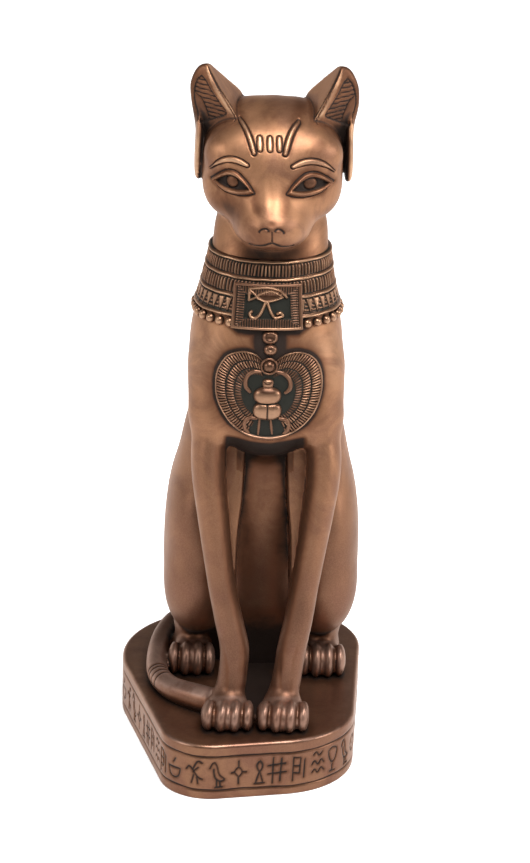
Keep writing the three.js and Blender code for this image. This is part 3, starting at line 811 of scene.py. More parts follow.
def draw_face(points, normals):
    """The relief of the face, darker places between its parts, and painted shade under the chin, beside the
    ears, on the left cheek and muzzle, and dulling the light on the forehead and the nose's bridge.
    """
    across, height = face_flat(points)
    flat = np.stack([across, height], 1)
    front = (points[:, 1] < 4) & (normals[:, 1] < 0.25)
    r = Relief(flat, front)

    # The brows, and three loops between two slanted strips on the forehead
    r.strip(curve(BROW, 30), [0.7, 1.05, 1.15, 1.15, 1.05, 0.85, 0.4, 0.15], 0.85, 0.32, 0.3)
    for x in (0, 3.25):
        r.strip(curve([[x, 229.6], [x, 231.4], [x, 233.4]], 8), [0.75, 0.95, 0.8], 0.45, 0.24, 0.34)
    r.strip(curve(SLANTED_STRIP, 30), [0.75, 1.0, 1.0, 0.95, 0.9, 0.8, 0.6], 0.85, 0.34, 0.4)
    draw_eye(r)

    # Nose and lips
    for path, count, half, depth, dark, fade in FACE_GROOVES:
        r.groove(curve(path, count), half, depth, dark, fade)
    nose = soft(across, 2.3) * soft(height - 204.2, 1.3) * front
    r.lift -= 0.25 * nose
    r.darken(0.45 * nose)

    # Two soft ridges down the bridge of the nose, with a shallow hollow between
    gap, share = nearest(curve([[3.4, 223], [2.7, 218], [2.1, 213], [1.7, 208.5], [1.6, 205]], 20), flat)
    r.lift += front * 0.14 * soft(gap, 1.5) * clamp(np.minimum(share, 1 - share) / 0.3)
    r.worn = np.maximum(r.worn, front * 0.15 * soft(gap, 1.6))

    # Darker beside the nose, by the eyes and brows, by the slanted strips and at the mouth; painted shade
    # under the chin and beside the ears, and painted shade that dulls the light on the middle of the forehead
    # and of the nose's bridge
    for path, reach, strength in SMOKE_AND_SHADE:
        gap, _ = nearest(np.array(path, float), flat)
        r.darken(front * strength * soft(gap, reach))
    # Painted shade on the left cheek and muzzle, the side away from the light
    for x, z, wide, high, strength in ((-17, 206, 10, 9.5, 0.6), (-5, 198, 10, 7, 0.44)):
        spot = np.hypot((points[:, 0] - x) / wide, (points[:, 2] - z) / high)
        r.darken(front * strength * soft(spot, 1))
    r.darken(front * 0.5 * soft(depth_in(flat, LID_UPPER, LID_LOWER), 2.2))
    return r


def draw_eye(r):
    """Raised lids round a sunk opening, in which the eyeball bulges with the iris on it."""
    here = r.mask & np.all((r.flat > [3, 208]) & (r.flat < [26, 226]), axis=1)
    flat = r.flat[here]
    u, v = flat.T
    out_of_eye = -depth_in(flat, EYE_UPPER, EYE_LOWER)
    in_lids = depth_in(flat, LID_UPPER, LID_LOWER)
    band = clamp(out_of_eye / 0.35 + 0.5) * clamp(in_lids / 0.35 + 0.5)
    crown = clamp(np.minimum(out_of_eye, in_lids) / 0.75)
    line = soft(in_lids + 0.25, 0.36)
    inner_line = soft(out_of_eye + 0.35, 0.45) * (out_of_eye < 0.25)

    depth = clamp(-out_of_eye / 0.5)
    ball = clamp(1 - ((u - 14.2) / 7.4) ** 2 - ((v - 216.6) / 4.4) ** 2)
    iris = np.hypot(u - IRIS[0], (v - IRIS[1]) * 1.02)
    dome = clamp(1 - (iris / IRIS_RADIUS) ** 2)
    from_ring = iris - IRIS_RADIUS - 0.2
    r.lift[here] += band * (0.35 + 0.75 * np.sqrt(crown)) - 0.35 * line
    r.lift[here] += depth * (0.95 * ball - 1.25 + 0.75 * np.sqrt(dome) - 0.3 * soft(from_ring, 0.3))
    r.dark[here] = np.maximum.reduce([
        r.dark[here] * (in_lids < 0.2), line, inner_line, depth * soft(from_ring, 0.4),
        depth * (0.97 - 0.36 * (dome > 0.05)),
    ])
    r.worn[here] = np.maximum(r.worn[here], np.maximum(0.8 * band * crown**2, 0.15 * dome * depth))


EAR_PANEL = [  # share across the ear's front from its outer edge, and height
    [0.45, 252.7], [0.62, 251], [0.7, 247], [0.76, 243], [0.79, 239.3], [0.5, 236.4],
    [0.2, 234.1], [0.15, 238], [0.14, 243], [0.2, 247.5], [0.3, 251], [0.45, 252.7],
]
EAR_LOBE = [[0.22, 245.2], [0.33, 243.2], [0.36, 239], [0.36, 235.6]]
EAR_RUNG_PITCH = 1.75


def draw_ears(points, r):
    """The sunk panel on each ear's front: a bordered leaf with rungs across and a lobe on its outer edge."""
    z = points[:, 2]
    x = np.abs(points[:, 0] - EAR_LEAN(z)[0])
    ox, oy, rx, ry, _, _ = EAR(z)
    width = np.sqrt((rx - ox) ** 2 + (ry - oy) ** 2) + 1e-6
    t = ((x - ox) * (rx - ox) + (points[:, 1] - oy) * (ry - oy)) / width**2
    off = np.abs((x - ox) * (ry - oy) - (points[:, 1] - oy) * (rx - ox)) / width
    on_front = np.flatnonzero((z > 230) & (t > 0) & (t < 1) & (off < 1.8))
    t, z, width = t[on_front], z[on_front], width[on_front]

    def flat_path(rows, count):
        line = curve(rows, count)
        _ox, _oy, _rx, _ry, _, _ = EAR(line[:, 1])
        return np.stack([line[:, 0] * np.hypot(_rx - _ox, _ry - _oy), line[:, 1]], 1)

    flat = np.stack([t * width, z], 1)
    border = flat_path(EAR_PANEL, 60)
    gap, _ = nearest(border, flat)
    inside = np.zeros(len(flat), bool)
    for a, b in zip(border[:-1], border[1:]):
        crosses = (a[1] > z) != (b[1] > z)
        at = a[0] + (z - a[1]) / (b[1] - a[1] + 1e-12) * (b[0] - a[0])
        inside ^= crosses & (flat[:, 0] < at)
    lobe = flat_path(EAR_LOBE, 16)
    lobe_gap, _ = nearest(lobe, flat)
    in_lobe = inside & (flat[:, 0] < np.interp(z, lobe[::-1, 1], lobe[::-1, 0])) & (z < 245.2)
    rung_place = (z + 0.1 * flat[:, 0] - 236) / EAR_RUNG_PITCH
    rung = np.abs(rung_place - np.round(rung_place)) * EAR_RUNG_PITCH
    rungs = soft(rung, 0.36) * inside * ~in_lobe
    edge = soft(gap, 0.4)
    lobe_edge = soft(lobe_gap, 0.3) * inside
    r.lift[on_front] += -0.35 * inside * clamp(gap / 0.5) - 0.45 * edge - 0.42 * rungs - 0.35 * lobe_edge
    r.dark[on_front] = np.maximum.reduce([r.dark[on_front], edge, lobe_edge, rungs, 0.48 * inside])

    # The dark line beside the ridge, and the soft wear of the broad rim
    ridge = soft((t - 0.965) * width, 0.32) * clamp((z - 234.5) / 2.5)
    r.dark[on_front] = np.maximum.reduce([r.dark[on_front], 0.9 * ridge, 0.55 - 0.28 * (t > 0.8)])
    r.lift[on_front] -= 0.25 * ridge


def face_and_ears(points):
    """Where the head's mesh is finer."""
    height = points[:, 2]
    face = (points[:, 1] < -10) & (height > 190) & (height < 241)
    ears = (height > 229) & (np.abs(points[:, 0]) > 12) & (points[:, 1] < -1)
    return face | ears


def drawn_face(points):
    """Where it is finest: round the eyes, on the forehead's marks and at the mouth."""
    across, height = face_flat(points)
    return (points[:, 1] < -14) & (
        ((across > 4.4) & (across < 24.5) & (height > 211) & (height < 228.5))
        | ((across < 14.5) & (height > 226) & (height < 240))
        | ((across < 9.5) & (height > 193.5) & (height < 205))
    )


def make_head(material):
    forms = head_forms()
    points, triangles, normals = surface(
        forms, [-34, -42, NECK_CUT], [34, 26, 257], 0.9, [face_and_ears, drawn_face], NECK_CUT,
    )
    r = draw_face(points, normals)
    draw_ears(points, r)

    # Painted shade in the crease where the ears stand on the skull, on the undersides, on the neck under the
    # jaw and where the head closes in on itself
    ear_crease_shade = np.exp(-((read(skull_forms(), points) ** 2 + read(ear_forms(), points) ** 2) / 0.9**2))
    under = 0.45 * clamp(-normals[:, 2]) + 0.3 * clamp((194 - points[:, 2]) / 8)
    closed_shade = shade(forms, points, normals) + under
    return make(
        "head", r.apply(points, normals), triangles, material,
        patina=np.maximum.reduce([closed_shade, r.dark, 0.95 * ear_crease_shade]),
        wear=np.maximum(crest(forms, points, normals), r.worn),
    )


# The body

PLINTH_FORM = Form(lambda x, y, z: z + 0 * x, [-60, -70, -24], [60, 70, 0], 0.01)
PENDANT = np.array([[0.6, 162.0], [0.6, 140.0]])  # the middle line of the beads that hang from the plaque
WRIST_LINES = [  # x and height along each, half width, depth and darkness
    ([[-15.6, 34], [-13.6, 26], [-12.8, 19], [-13, 13]], 0.8, 0.45, 0.5),
    ([[-8.2, 30], [-8, 22], [-9, 14]], 0.6, 0.3, 0.35),
    ([[15.4, 34], [13.4, 26], [12.6, 19], [12.6, 13]], 0.7, 0.35, 0.4),
    ([[8.6, 30], [7.8, 22], [8.4, 14]], 0.7, 0.4, 0.45),
]


def chest_stain_and_shade(points):
    """The chest darkened round its ornaments, with a painted shadow under the collar and painted shade on the
    chest's lower rim, which faces down.
    """
    front = np.flatnonzero((points[:, 1] < -6) & (points[:, 2] > 96) & (points[:, 2] < 182))
    x, y, z = points[front].T
    z = z + PECTORAL_DROP
    flat = np.stack([x, z], 1)
    off = np.abs(x)
    gap, _ = nearest(pectoral_outline(90), flat)
    round_pectoral = np.maximum(soft(gap, 2.1), 0.62 * np.exp(-gap / 5))
    gap, _ = nearest(PENDANT, flat)
    round_pendant = clamp(1.85 - gap / 5.6) ** 1.3
    near = clamp((17 - off) / 5)
    down = np.maximum(COLLAR_BOTTOM - 1 - z - 2.4 - 1.4 * near, 0)
    collar_shadow = (0.62 + 0.33 * near) * soft(down, 1.3 + 1.5 * near)
    rim = 0.92 * clamp((114.6 + 2.4 * (off / 16) ** 2 - z) / 2.5)
    rim *= clamp((-21 - y) / 2.5) * clamp(2 - (off / 14.5) ** 4) * clamp((z - 98) / 3)
    total = np.zeros(len(points))
    total[front] = np.maximum.reduce([round_pectoral, round_pendant, collar_shadow, rim])
    return total


def draw_tail(points, r):
    """Four thin rings round the tail, in front of its bend; returns how near its top each point is."""
    path = curve(TAIL, 120)[:, :2]
    low = np.flatnonzero((points[:, 2] < 2 * TAIL_RADIUS + 1) & (points[:, 0] < 0) & (points[:, 1] < 20))
    gap, share = nearest(path, points[low][:, :2])
    for ring in TAIL_RINGS:
        line = soft((share - ring) * run_along(path)[-1], 0.5) * (gap < TAIL_RADIUS + 1)
        r.lift[low] -= 0.35 * line
        r.dark[low] = np.maximum(r.dark[low], line)
    on_tail = np.zeros(len(points))
    on_tail[low] = clamp((TAIL_RADIUS + 1 - gap) / 1.5) * clamp((18 - points[low, 1]) / 16)
    return on_tail


def draw_wrists(points, r):
    """Shallow hollows between the cords of each lower foreleg."""
    wrist = Relief(points[:, [0, 2]], (points[:, 1] < -30) & (points[:, 2] < 40))
    for path, half, depth, dark in WRIST_LINES:
        wrist.groove(curve(path, 12), half, depth, dark, 0.3)
    r.lift += wrist.lift
    r.darken(wrist.dark)


def chest_paws_and_seams(points):
    """Where the body's mesh is finer: the chest, the paws and tail, and the seams beside the legs' folds."""
    x, y, z = points.T
    chest = (z > 100) & (z < 165) & (y < -12) & (np.abs(x) < 27)
    low = (z < 16) & (z > 0) & ((y < -30) | ((x < -18) & (y < 12)) | ((x > 14) & (y < 4)))
    seams = (z > 44) & (z < 106) & (y < -4) & (np.abs(np.abs(x - 0.6) - 9.6) < 3.8)
    return chest | low | seams


def make_body(material):
    forms = body_forms()
    points, triangles, normals = surface(
        forms, [-48, -62, -SINK], [44, 56, BODY_TOP], 1.25, [chest_paws_and_seams], -SINK, BODY_TOP,
    )
    x, y, z = points.T
    r = Relief(points[:, [0, 2]])
    on_tail = draw_tail(points, r)
    draw_wrists(points, r)
    closing = forms + [PLINTH_FORM]
    facing = clamp(-normals[:, 1] / 0.5)
    off = np.abs(x - 0.5)

    # Painted shade where the body closes in on itself and on its undersides, kept weaker on the folds beside
    # the forelegs, the paws, the tail and the back; painted shade in the paws' clefts
    on_fold = facing * soft(read([fold_form()], points), 0.9)
    on_paw = soft(read(paws(), points), 0.8)
    kept = (1 - 0.2 * on_fold) * (1 - 0.85 * np.maximum(on_paw, on_tail))
    hollow = shade(closing, points, normals) * kept + 0.4 * clamp(-normals[:, 2])
    hollow *= 1 - 0.5 * clamp((y - 4) / 14) * clamp(z / 30)
    paw_cleft_shade = shade(closing, points, normals, FINE_REACHES) * on_paw

    # Painted shade low between the legs, under the chest and on the legs' inner sides; painted highlight on
    # the shoulders, and on the tail and paws, which are also worn
    between = clamp((38 - z) / 26) * facing * (off < 19) * (y > -12) * (1 - on_paw)
    shade_under_chest = 0.62 * clamp((z - 82) / 20) * (z < 112) * facing * (off < 11) * (y > -22)
    inward = -np.sign(x - 0.5) * normals[:, 0] * (y < -13) * (z < 112) * clamp((z - 13) / 8)
    inner_side_shade = 0.55 * clamp(1.5 * inward - 0.15)
    shoulders = 0.5 * soft(z - 147, 20) * clamp((np.abs(x) - 10) / 8) * clamp(0.5 - normals[:, 1])
    return make(
        "body", r.apply(points, normals), triangles, material,
        patina=np.maximum.reduce([hollow, paw_cleft_shade, between, shade_under_chest, inner_side_shade, chest_stain_and_shade(points), r.dark]),
        wear=np.maximum.reduce([crest(forms, points, normals), 0.9 * on_tail, 0.6 * on_paw, shoulders]),
    )


# Ornaments: each is drawn flat, in x, height and lift, and then laid on the chest or the collar

COLLAR_RINGS = [164.2, 171.4, 178.1, 184.6]  # heights in front
RING_RISES = [0.4, 1.1, 1.9, 1.2]  # how much higher each is at the sides
COLLAR_TOP = 185.5
COLLAR_BOTTOM = 163.3
ROW_LIFT = 0.9
BEAD_HEIGHT = 161.2
BEAD_PITCH = 4.4
BEAD_RADII = np.array([1.75, 1.75, 1.85])


def crossing(forms, place, inside, outside, steps):
    """The numbers from inside to outside for which place(number) lies on the forms' surface."""
    for _ in range(steps):
        middle = (inside + outside) / 2
        into = read(forms, place(middle)) < 0
        inside, outside = np.where(into, middle, inside), np.where(into, outside, middle)
    return inside


class Chest:
    """The front of the chest as a map from x and height to its surface and the way out of it."""

    STEP = 0.75

    def __init__(self):
        forms = chest_forms()
        across, up = np.arange(-26, 26.1, self.STEP), np.arange(98, 190.1, self.STEP)
        x, z = grid(across, up)
        deep, clear = np.full(x.size, -4.0), np.full(x.size, -60.0)
        depth = crossing(forms, lambda y: np.stack([x, y, z], 1), deep, clear, 24)
        self.low = np.array([across[0], up[0]])
        self.depth = depth.reshape(len(across), len(up))
        self.out = normals_of(forms, np.stack([x, depth, z], 1)).reshape(*self.depth.shape, 3)

    def lay(self, x, z, lift):
        """Points of the chest at x and height z, lifted off it."""
        at = np.clip((np.stack([x, z], 1) - self.low) / self.STEP, 0, np.array(self.depth.shape) - 1.001)
        i, j = at.astype(int).T
        u, v = (at % 1).T
        corners = [(i + a, j + b, (u if a else 1 - u) * (v if b else 1 - v)) for b in (0, 1) for a in (0, 1)]
        depth = sum(self.depth[a, b] * w for a, b, w in corners)
        out = sum(self.out[a, b] * w[:, None] for a, b, w in corners)
        out /= np.linalg.norm(out, axis=1, keepdims=True)
        return np.stack([x, depth, z], 1) + out * lift[:, None]


def sheet_faces(rows, columns, round_rows=False, round_columns=False):
    """Four-sided faces of a grid of points, rows by columns, joined round where wanted."""
    i, j = grid(np.arange(rows - (not round_rows)), np.arange(columns - (not round_columns)))
    k, m = (i + 1) % rows, (j + 1) % columns
    return np.stack([i * columns + j, i * columns + m, k * columns + m, k * columns + j], 1)


def fan(first, columns, tip, turned=False):
    """Triangles from a closed row of points, which starts at first, to one point."""
    k = np.arange(columns)
    a, b = first + k, first + (k + 1) % columns
    return np.stack([b, a, 0 * k + tip] if turned else [a, b, 0 * k + tip], 1).tolist()


def collar_skin(height, angle):
    """The skin under the collar, which opens towards the sides and back, and the ways out from its axis."""
    z = height + np.interp(height, COLLAR_RINGS, RING_RISES) * (1 - np.cos(angle))
    out = np.stack([np.sin(angle), -np.cos(angle), 0 * angle], 1)
    _, front, back = TRUNK(z)
    axis = np.stack([BODY_LEAN(z)[0], (front + back) / 2, z], 1)
    near, clear = np.full(len(z), 4.0), np.full(len(z), 50.0)
    reach = crossing(chest_forms(), lambda r: axis + out * r[:, None], near, clear, 22)
    return axis + out * reach[:, None], out


def row_between(r, low, high):
    """Which points lie between two heights, and how far up between them each is."""
    h = r.flat[:, 1]
    here = (h > low) & (h < high)
    return here, (h[here] - low) / (high - low)


def draw_reeds(r, share, low, high, count):
    """A row of reeds, no two quite alike; share is how far round the collar each point is."""
    here, up = row_between(r, low, high)
    lean = rng.normal(0, 0.12, count)
    size = rng.uniform(0.75, 1.1, count)
    shift = rng.normal(0, 0.06, count)
    place = share[here] * count
    number = place.astype(int) % count
    off = place % 1 - 0.5 + shift[number] + lean[number] * (up - 0.5)
    reed = bump(off, 0.36, 0.7) * bump(up - 0.5, 0.52, 0.25) * size[number]
    r.lift[here] += 0.75 * reed - 0.3
    r.dark[here] = 1 - reed * 1.35
    r.worn[here] = reed**2 * 0.75


def draw_triangles(r, share, low, high, count):
    """A row of tall triangles with bars, and plain ones between them."""
    here, up = row_between(r, low, high)
    off = np.abs(share[here] * count % 1 - 0.5) * 2  # 0 at a triangle's middle
    gap = (off - (1 - up) * 0.9 - 0.04) * 1.42  # below 0 inside a barred triangle
    line = soft(gap, 0.2)
    bars = 0.5 + 0.5 * np.cos(up * 2 * math.pi * 4.2)
    barred = gap < 0
    r.lift[here] += np.where(barred, 0.5 * bars**0.7, 0.62) - 0.55 * line - 0.2
    r.dark[here] = np.maximum(line, np.where(barred, 0.85 * (1 - bars) ** 0.8, 0.05))
    r.worn[here] = (1 - line) * np.where(barred, 0.55 * bars, 0.75)


def draw_rings(r):
    """The rings between the rows, a little uneven as if cut by hand."""
    a, h = r.flat.T
    for ring in COLLAR_RINGS:
        gap = h - ring - 0.07 * np.sin(a * 7 + ring) - 0.05 * np.sin(a * 19 + 2 * ring)
        height = bump(gap, 0.68)
        beside = soft(np.abs(gap) - 0.85, 0.3)
        on_ring = height > 0
        r.lift = np.where(on_ring, 0.4 + 1.15 * height, r.lift - 0.3 * beside)
        r.dark = np.where(on_ring, 0.7 * (1 - height) ** 2, np.maximum(r.dark, beside))
        r.worn = np.where(on_ring, height**2, r.worn * (1 - beside))


def make_collar(material):
    columns = 820
    rows = np.linspace(COLLAR_BOTTOM, COLLAR_TOP, 104)
    angles = np.linspace(0, 2 * math.pi, columns, endpoint=False)
    h, a = grid(rows, angles)
    under, out = collar_skin(h, a)
    middle = under.reshape(len(rows), columns, 3)[len(rows) // 2]
    run = run_along(np.vstack([middle, middle[:1]]))
    share = np.tile(run[:-1] / run[-1], len(rows))

    r = Relief(np.stack([a, h], 1))
    r.lift += ROW_LIFT
    r.dark += 0.55
    rows_between = ((draw_reeds, 2, 0.9, 1.32), (draw_reeds, 1, 0.9, 1.4), (draw_triangles, 0, 0.8, 2.85))
    for draw, ring, margin, pitch in rows_between:
        low, high = COLLAR_RINGS[ring] + margin, COLLAR_RINGS[ring + 1] - margin
        draw(r, share, low, high, round(run[-1] / pitch))
    draw_rings(r)

    # Its two edges are sunk into the neck, and so is what lies behind the plaque
    lift = np.where(np.minimum(h - COLLAR_BOTTOM, COLLAR_TOP - h) < 0.15, -2.5, r.lift)
    x, y, z = (under + out * lift[:, None]).T
    behind = (y < -10) & (z < PLAQUE["top"] - 0.8) & (np.abs(x - PLAQUE["middle"]) < PLAQUE["top_half"] - 0.8)
    lift = np.where(behind, -0.8, lift)
    inner, inner_out = collar_skin(*grid([COLLAR_TOP - 1, COLLAR_BOTTOM + 1], angles))
    hidden = np.ones(2 * columns)
    wander = 0.12 * np.sin(a * 5.3 + h) * np.sin(a * 3.1)
    return make(
        "collar", np.vstack([under + out * lift[:, None], inner - 3 * inner_out]),
        sheet_faces(len(rows) + 2, columns, round_rows=True, round_columns=True), material,
        patina=np.append(r.dark + wander, hidden), wear=np.append(r.worn, 0 * hidden),
    )


def make_beads(material):
    """A row of rounded beads under the collar, left out behind the plaque."""
    line, away = collar_skin(np.full(721, BEAD_HEIGHT), np.linspace(0, 2 * math.pi, 721))
    line += 0.3 * away
    run = run_along(line)
    count = round(run[-1] / BEAD_PITCH)
    ball = bmesh.new()
    bmesh.ops.create_icosphere(ball, subdivisions=3, radius=1)
    unit = np.array([v.co for v in ball.verts])
    unit_faces = np.array([[v.index for v in f.verts] for f in ball.faces])
    ball.free()
    squarish = np.sign(unit) * np.abs(unit) ** 0.92
    points, faces = [], []
    for n in range(count):
        p = np.array([np.interp((n + 0.5) / count * run[-1], run, column) for column in line.T])
        if p[1] < -10 and abs(p[0] - PLAQUE["middle"]) < PLAQUE["bottom_half"] + 1.1:
            continue
        out = np.array([p[0], p[1] + 8, 0])
        out /= np.linalg.norm(out)
        radii = BEAD_RADII * rng.uniform(0.94, 1.07, 3)
        faces.append(unit_faces + len(points) * len(unit))
        points.append(p + (squarish * radii) @ np.array([[-out[1], out[0], 0], out, [0, 0, 1]]))
    # Each bead is darker towards its back, painted shade where it lies against the neck, and lighter towards
    # its front
    outward = np.tile(unit[:, 1], len(points))
    return make(
        "beads", np.vstack(points), np.vstack(faces), material,
        patina=clamp(0.6 - 1.6 * outward), wear=clamp(outward + 0.2) ** 1.5,
    )


PLAQUE = {"top": 176.4, "bottom": 159.3, "top_half": 12.2, "bottom_half": 13.1, "middle": -0.7, "lift": 2.0}
PLAQUE_DROP = 0.5  # the drawing on the plaque is this much lower than on the chest behind it
FIELD_DEPTH = 0.75

# The eye on the plaque: a lens with a rim, a fishtail bar, a brow, and two legs that end in curls
LENS_TOP = curve([[-5, 171.9], [-3, 173.4], [-0.3, 174.2], [2.3, 173.8], [4.9, 172]], 24)
LENS_FOOT = curve([[-5, 171.9], [-3.1, 170.9], [-1.1, 170.3], [2.2, 171], [4.9, 172]], 24)
PLAQUE_LINES = [  # and the half width of each line
    (LENS_TOP, 0.34),
    (LENS_FOOT, 0.34),
    (curve([[-7.5, 174.8], [-7.5, 172.8], [-7.5, 170.7]], 8), 0.46),
    (curve([[-7, 174.3], [-5.8, 173.4], [-4.8, 172.2]], 8), 0.3),
    (curve([[-7, 170.9], [-5.9, 171.4], [-4.8, 172]], 8), 0.3),
    (curve([[-7.2, 174.9], [-3, 175.4], [0.3, 175.4], [2.9, 174.8], [4.7, 173.7], [6.3, 172]], 30), 0.42),
    (curve([
        [-1.4, 170.2], [-2.4, 167.7], [-3.5, 165.6], [-4.9, 164.4], [-6.4, 164.5], [-7.2, 165.7],
        [-6.6, 166.6],
    ], 30), 0.52),
    (curve([
        [-0.8, 170.2], [0.4, 166.9], [1.9, 164.7], [3.5, 164.7], [5, 165.2], [4.2, 166.4], [3, 166],
    ], 30), 0.5),
]


def draw_plaque_eye(r):
    lens = within(r.flat, LENS_TOP, LENS_FOOT)
    r.lift[lens] += FIELD_DEPTH
    r.dark[lens] = 0.35
    for path, half in PLAQUE_LINES:
        line = bump(nearest(path, r.flat)[0], half + 0.12, 0.6)
        on_line = line > 0
        r.lift = np.where(on_line, np.maximum(r.lift, PLAQUE["lift"] - FIELD_DEPTH + 1.25 * line), r.lift)
        r.dark = np.where(on_line, 0.5 * (1 - line), r.dark)
        r.worn = np.where(on_line, line, r.worn)


def make_plaque(chest, material):
    """A hatched frame round a sunk field with an eye on it."""
    rows, columns = 124, 168
    v, u = grid(np.linspace(0, 1, rows), np.linspace(-1, 1, columns))
    half = PLAQUE["bottom_half"] + (PLAQUE["top_half"] - PLAQUE["bottom_half"]) * v
    x = u * half + PLAQUE["middle"]
    z = PLAQUE["bottom"] + (PLAQUE["top"] - PLAQUE["bottom"]) * v
    side = (1 - np.abs(u)) * half  # distance from the side edges
    end = np.minimum(z - PLAQUE["bottom"], PLAQUE["top"] - z)
    rim = np.minimum(side, end)
    edge = bump(rim - 0.55, 0.6)
    second = bump(side - 1.7, 0.3) * (end > 1)
    hatched = (rim > 1.0) & (rim < 4.1) & (side > 1.4)
    hatch = 0.5 + 0.5 * np.cos(np.where(side < end * 1.25, z, x + 0.4) * 2 * math.pi / 0.92)
    field = rim > 4.3
    r = Relief(np.stack([x, z + PLAQUE_DROP], 1))
    r.lift += PLAQUE["lift"] + 0.6 * edge + 0.25 * second + 0.35 * soft(rim - 3.9, 0.2)
    r.lift += np.where(hatched, 0.35 * hatch**0.8 - 0.25, 0) - FIELD_DEPTH * field
    r.dark = np.where(field, 1.0, np.where(hatched, 0.95 - 0.75 * hatch**0.8, 0.75 * (1 - edge)))
    edge_wear = edge**2 * np.interp(v, [0, 0.15, 0.9, 1], [0.8, 0.55, 0.35, 0.1])
    r.worn = np.maximum(edge_wear, np.where(hatched, 0.3 * hatch, 0))
    draw_plaque_eye(r)

    # Its back lies inside the collar, and four walls join them
    n = rows * columns
    points = np.vstack([chest.lay(x, z, r.lift), chest.lay(x, z, np.full(n, -1.5))])
    faces = sheet_faces(rows, columns)
    number = np.arange(n).reshape(rows, columns)
    ring = np.concatenate([number[0], number[1:, -1], number[-1, -2::-1], number[-2:0:-1, 0]])
    ahead = np.roll(ring, -1)
    walls = np.stack([ring, ring + n, ahead + n, ahead], 1)
    return make(
        "plaque", points, np.vstack([faces, faces[:, ::-1] + n, walls]), material,
        patina=np.append(r.dark, np.ones(n)), wear=np.append(r.worn, np.zeros(n)),
    )


PECTORAL_MIDDLE = np.array([0.3, 132.6])
PECTORAL = [
    [0.4, 145.4], [-2.2, 147.2], [-4.3, 149.3], [-7.4, 150.4], [-10.8, 150.3], [-14.9, 148.7],
    [-17.5, 145.6], [-19.3, 141.6], [-19.8, 137], [-19.3, 131.4], [-17.1, 125.8], [-13.3, 120.6],
    [-7.6, 116.9], [0.8, 115.5], [8.4, 116.9], [13.9, 120.2], [18.4, 125.8], [20.6, 132.5], [21, 139],
    [19.8, 144.3], [16.8, 148.3], [12.4, 150.3], [8.4, 150.2], [5.3, 148.9], [2.8, 147], [0.4, 145.4],
]
PECTORAL_DROP = -0.5
PECTORAL_LIFT = 0.45
FEATHER_BANDS = [  # outer and inner share of the way out from the middle, how many feathers, and their height
    (0.965, 0.81, 108, 0.8),
    (0.79, 0.65, 86, 0.75),
    (0.63, 0.5, 70, 0.4),
]


def pectoral_outline(count):
    return curve(PECTORAL, count)[:-1]


def make_pectoral(chest, material):
    """A winged shield: three bands of feathers round a sunk field."""
    rows, columns = 84, 720
    share, n = grid(np.linspace(1, 0.36, rows), np.arange(columns))
    flat = PECTORAL_MIDDLE + (pectoral_outline(columns)[n] - PECTORAL_MIDDLE) * share[:, None]
    x, z = (flat - PECTORAL_MIDDLE).T
    from_below = np.abs(np.degrees(np.arctan2(x, -z)))
    at_foot = clamp((from_below - 25) / 3)  # 0 under the scarab, where there are no feathers
    in_cleft = clamp((170 - from_below) / 6)

    r = Relief(flat)
    r.lift += PECTORAL_LIFT
    r.dark += 1
    for outer, inner, count, height in FEATHER_BANDS:
        here = (share < outer) & (share > inner)
        place = n[here] / columns * count
        number = place.astype(int) % count
        lean = rng.normal(0, 0.12, count)[number]
        size = rng.uniform(0.8, 1.05, count)[number] * (at_foot * in_cleft)[here]
        up = (share[here] - inner) / (outer - inner)
        off = place % 1 - 0.5 + lean * (up - 0.5)
        feather = bump(off, 0.4, 0.6) * bump(up - 0.5, 0.53, 0.3) * size
        r.lift[here] += height * feather
        r.dark[here] = 1 - 1.5 * feather * height / 0.8
        r.worn[here] = 0.8 * feather**2 * height / 0.8
    hem = bump(share - 0.983, 0.017, 0.6) * np.clip(in_cleft * 2, 0.3, 1)
    on_hem = share > 0.967
    r.lift = np.where(on_hem, 0.6 + 0.8 * hem, r.lift)
    r.dark = np.where(on_hem, 0.75 * (1 - hem), r.dark)
    r.worn = np.where(on_hem, 0.8 * hem, r.worn)
    r.lift[share > 0.998] = -1.5

    # A point closes the field in front, and another closes the shield inside the chest
    last = rows * columns
    x, z = np.vstack([flat - [0, PECTORAL_DROP], PECTORAL_MIDDLE, PECTORAL_MIDDLE]).T
    points = chest.lay(x, z, np.append(r.lift, [PECTORAL_LIFT, -1.5]))
    faces = sheet_faces(rows, columns, round_columns=True)[:, ::-1].tolist()
    faces += fan(last - columns, columns, last, turned=True) + fan(0, columns, last + 1)
    return make(
        "pectoral", points, faces, material, patina=np.append(r.dark, [1, 1]), wear=np.append(r.worn, [0, 0]),
    )


def pillow(centre, radii, power):
    """A squarish cushion: a form between an ellipsoid and a box."""
    def field(x, y, z):
        shares = ((v - c) / r for v, c, r in zip((x, y, z), centre, radii))
        return (how_far(power, *shares) - 1) * min(radii)

    return field


def scooped(form, scoop, k):
    """A form with another taken out of it."""
    return lambda x, y, z: cut(form(x, y, z), -scoop(x, y, z), k)


SCARAB_LEGS = [  # paths and radii: the forelegs, hind legs and feelers, and the bar that they stand on
    ([[-2.9, 142.9], [-5, 143], [-7.1, 141.8], [-8.2, 139.6], [-8.2, 136.8], [-6.6, 134.8]], 0.85),
    ([[3.8, 143], [6.2, 142.2], [8, 140.4], [8.8, 138], [8.4, 135.8], [6.9, 134.6]], 0.85),
    ([[-3.9, 124], [-6.6, 124], [-8.3, 122.2], [-8, 119.4], [-6.6, 117.8]], 0.8),
    ([[5, 124], [7.4, 123.4], [8.6, 121.4], [8.1, 118.8], [6.8, 117.6]], 0.8),
    ([[-2.6, 123.6], [-2.8, 120.6], [-3, 117.2]], 0.55),
    ([[1.6, 123.6], [1.9, 120.6], [2.3, 117.6]], 0.55),
    ([[-7.9, 117.2], [-4.1, 115.9], [1, 115.5], [4.9, 115.9], [8.3, 116.8]], 0.7),
]


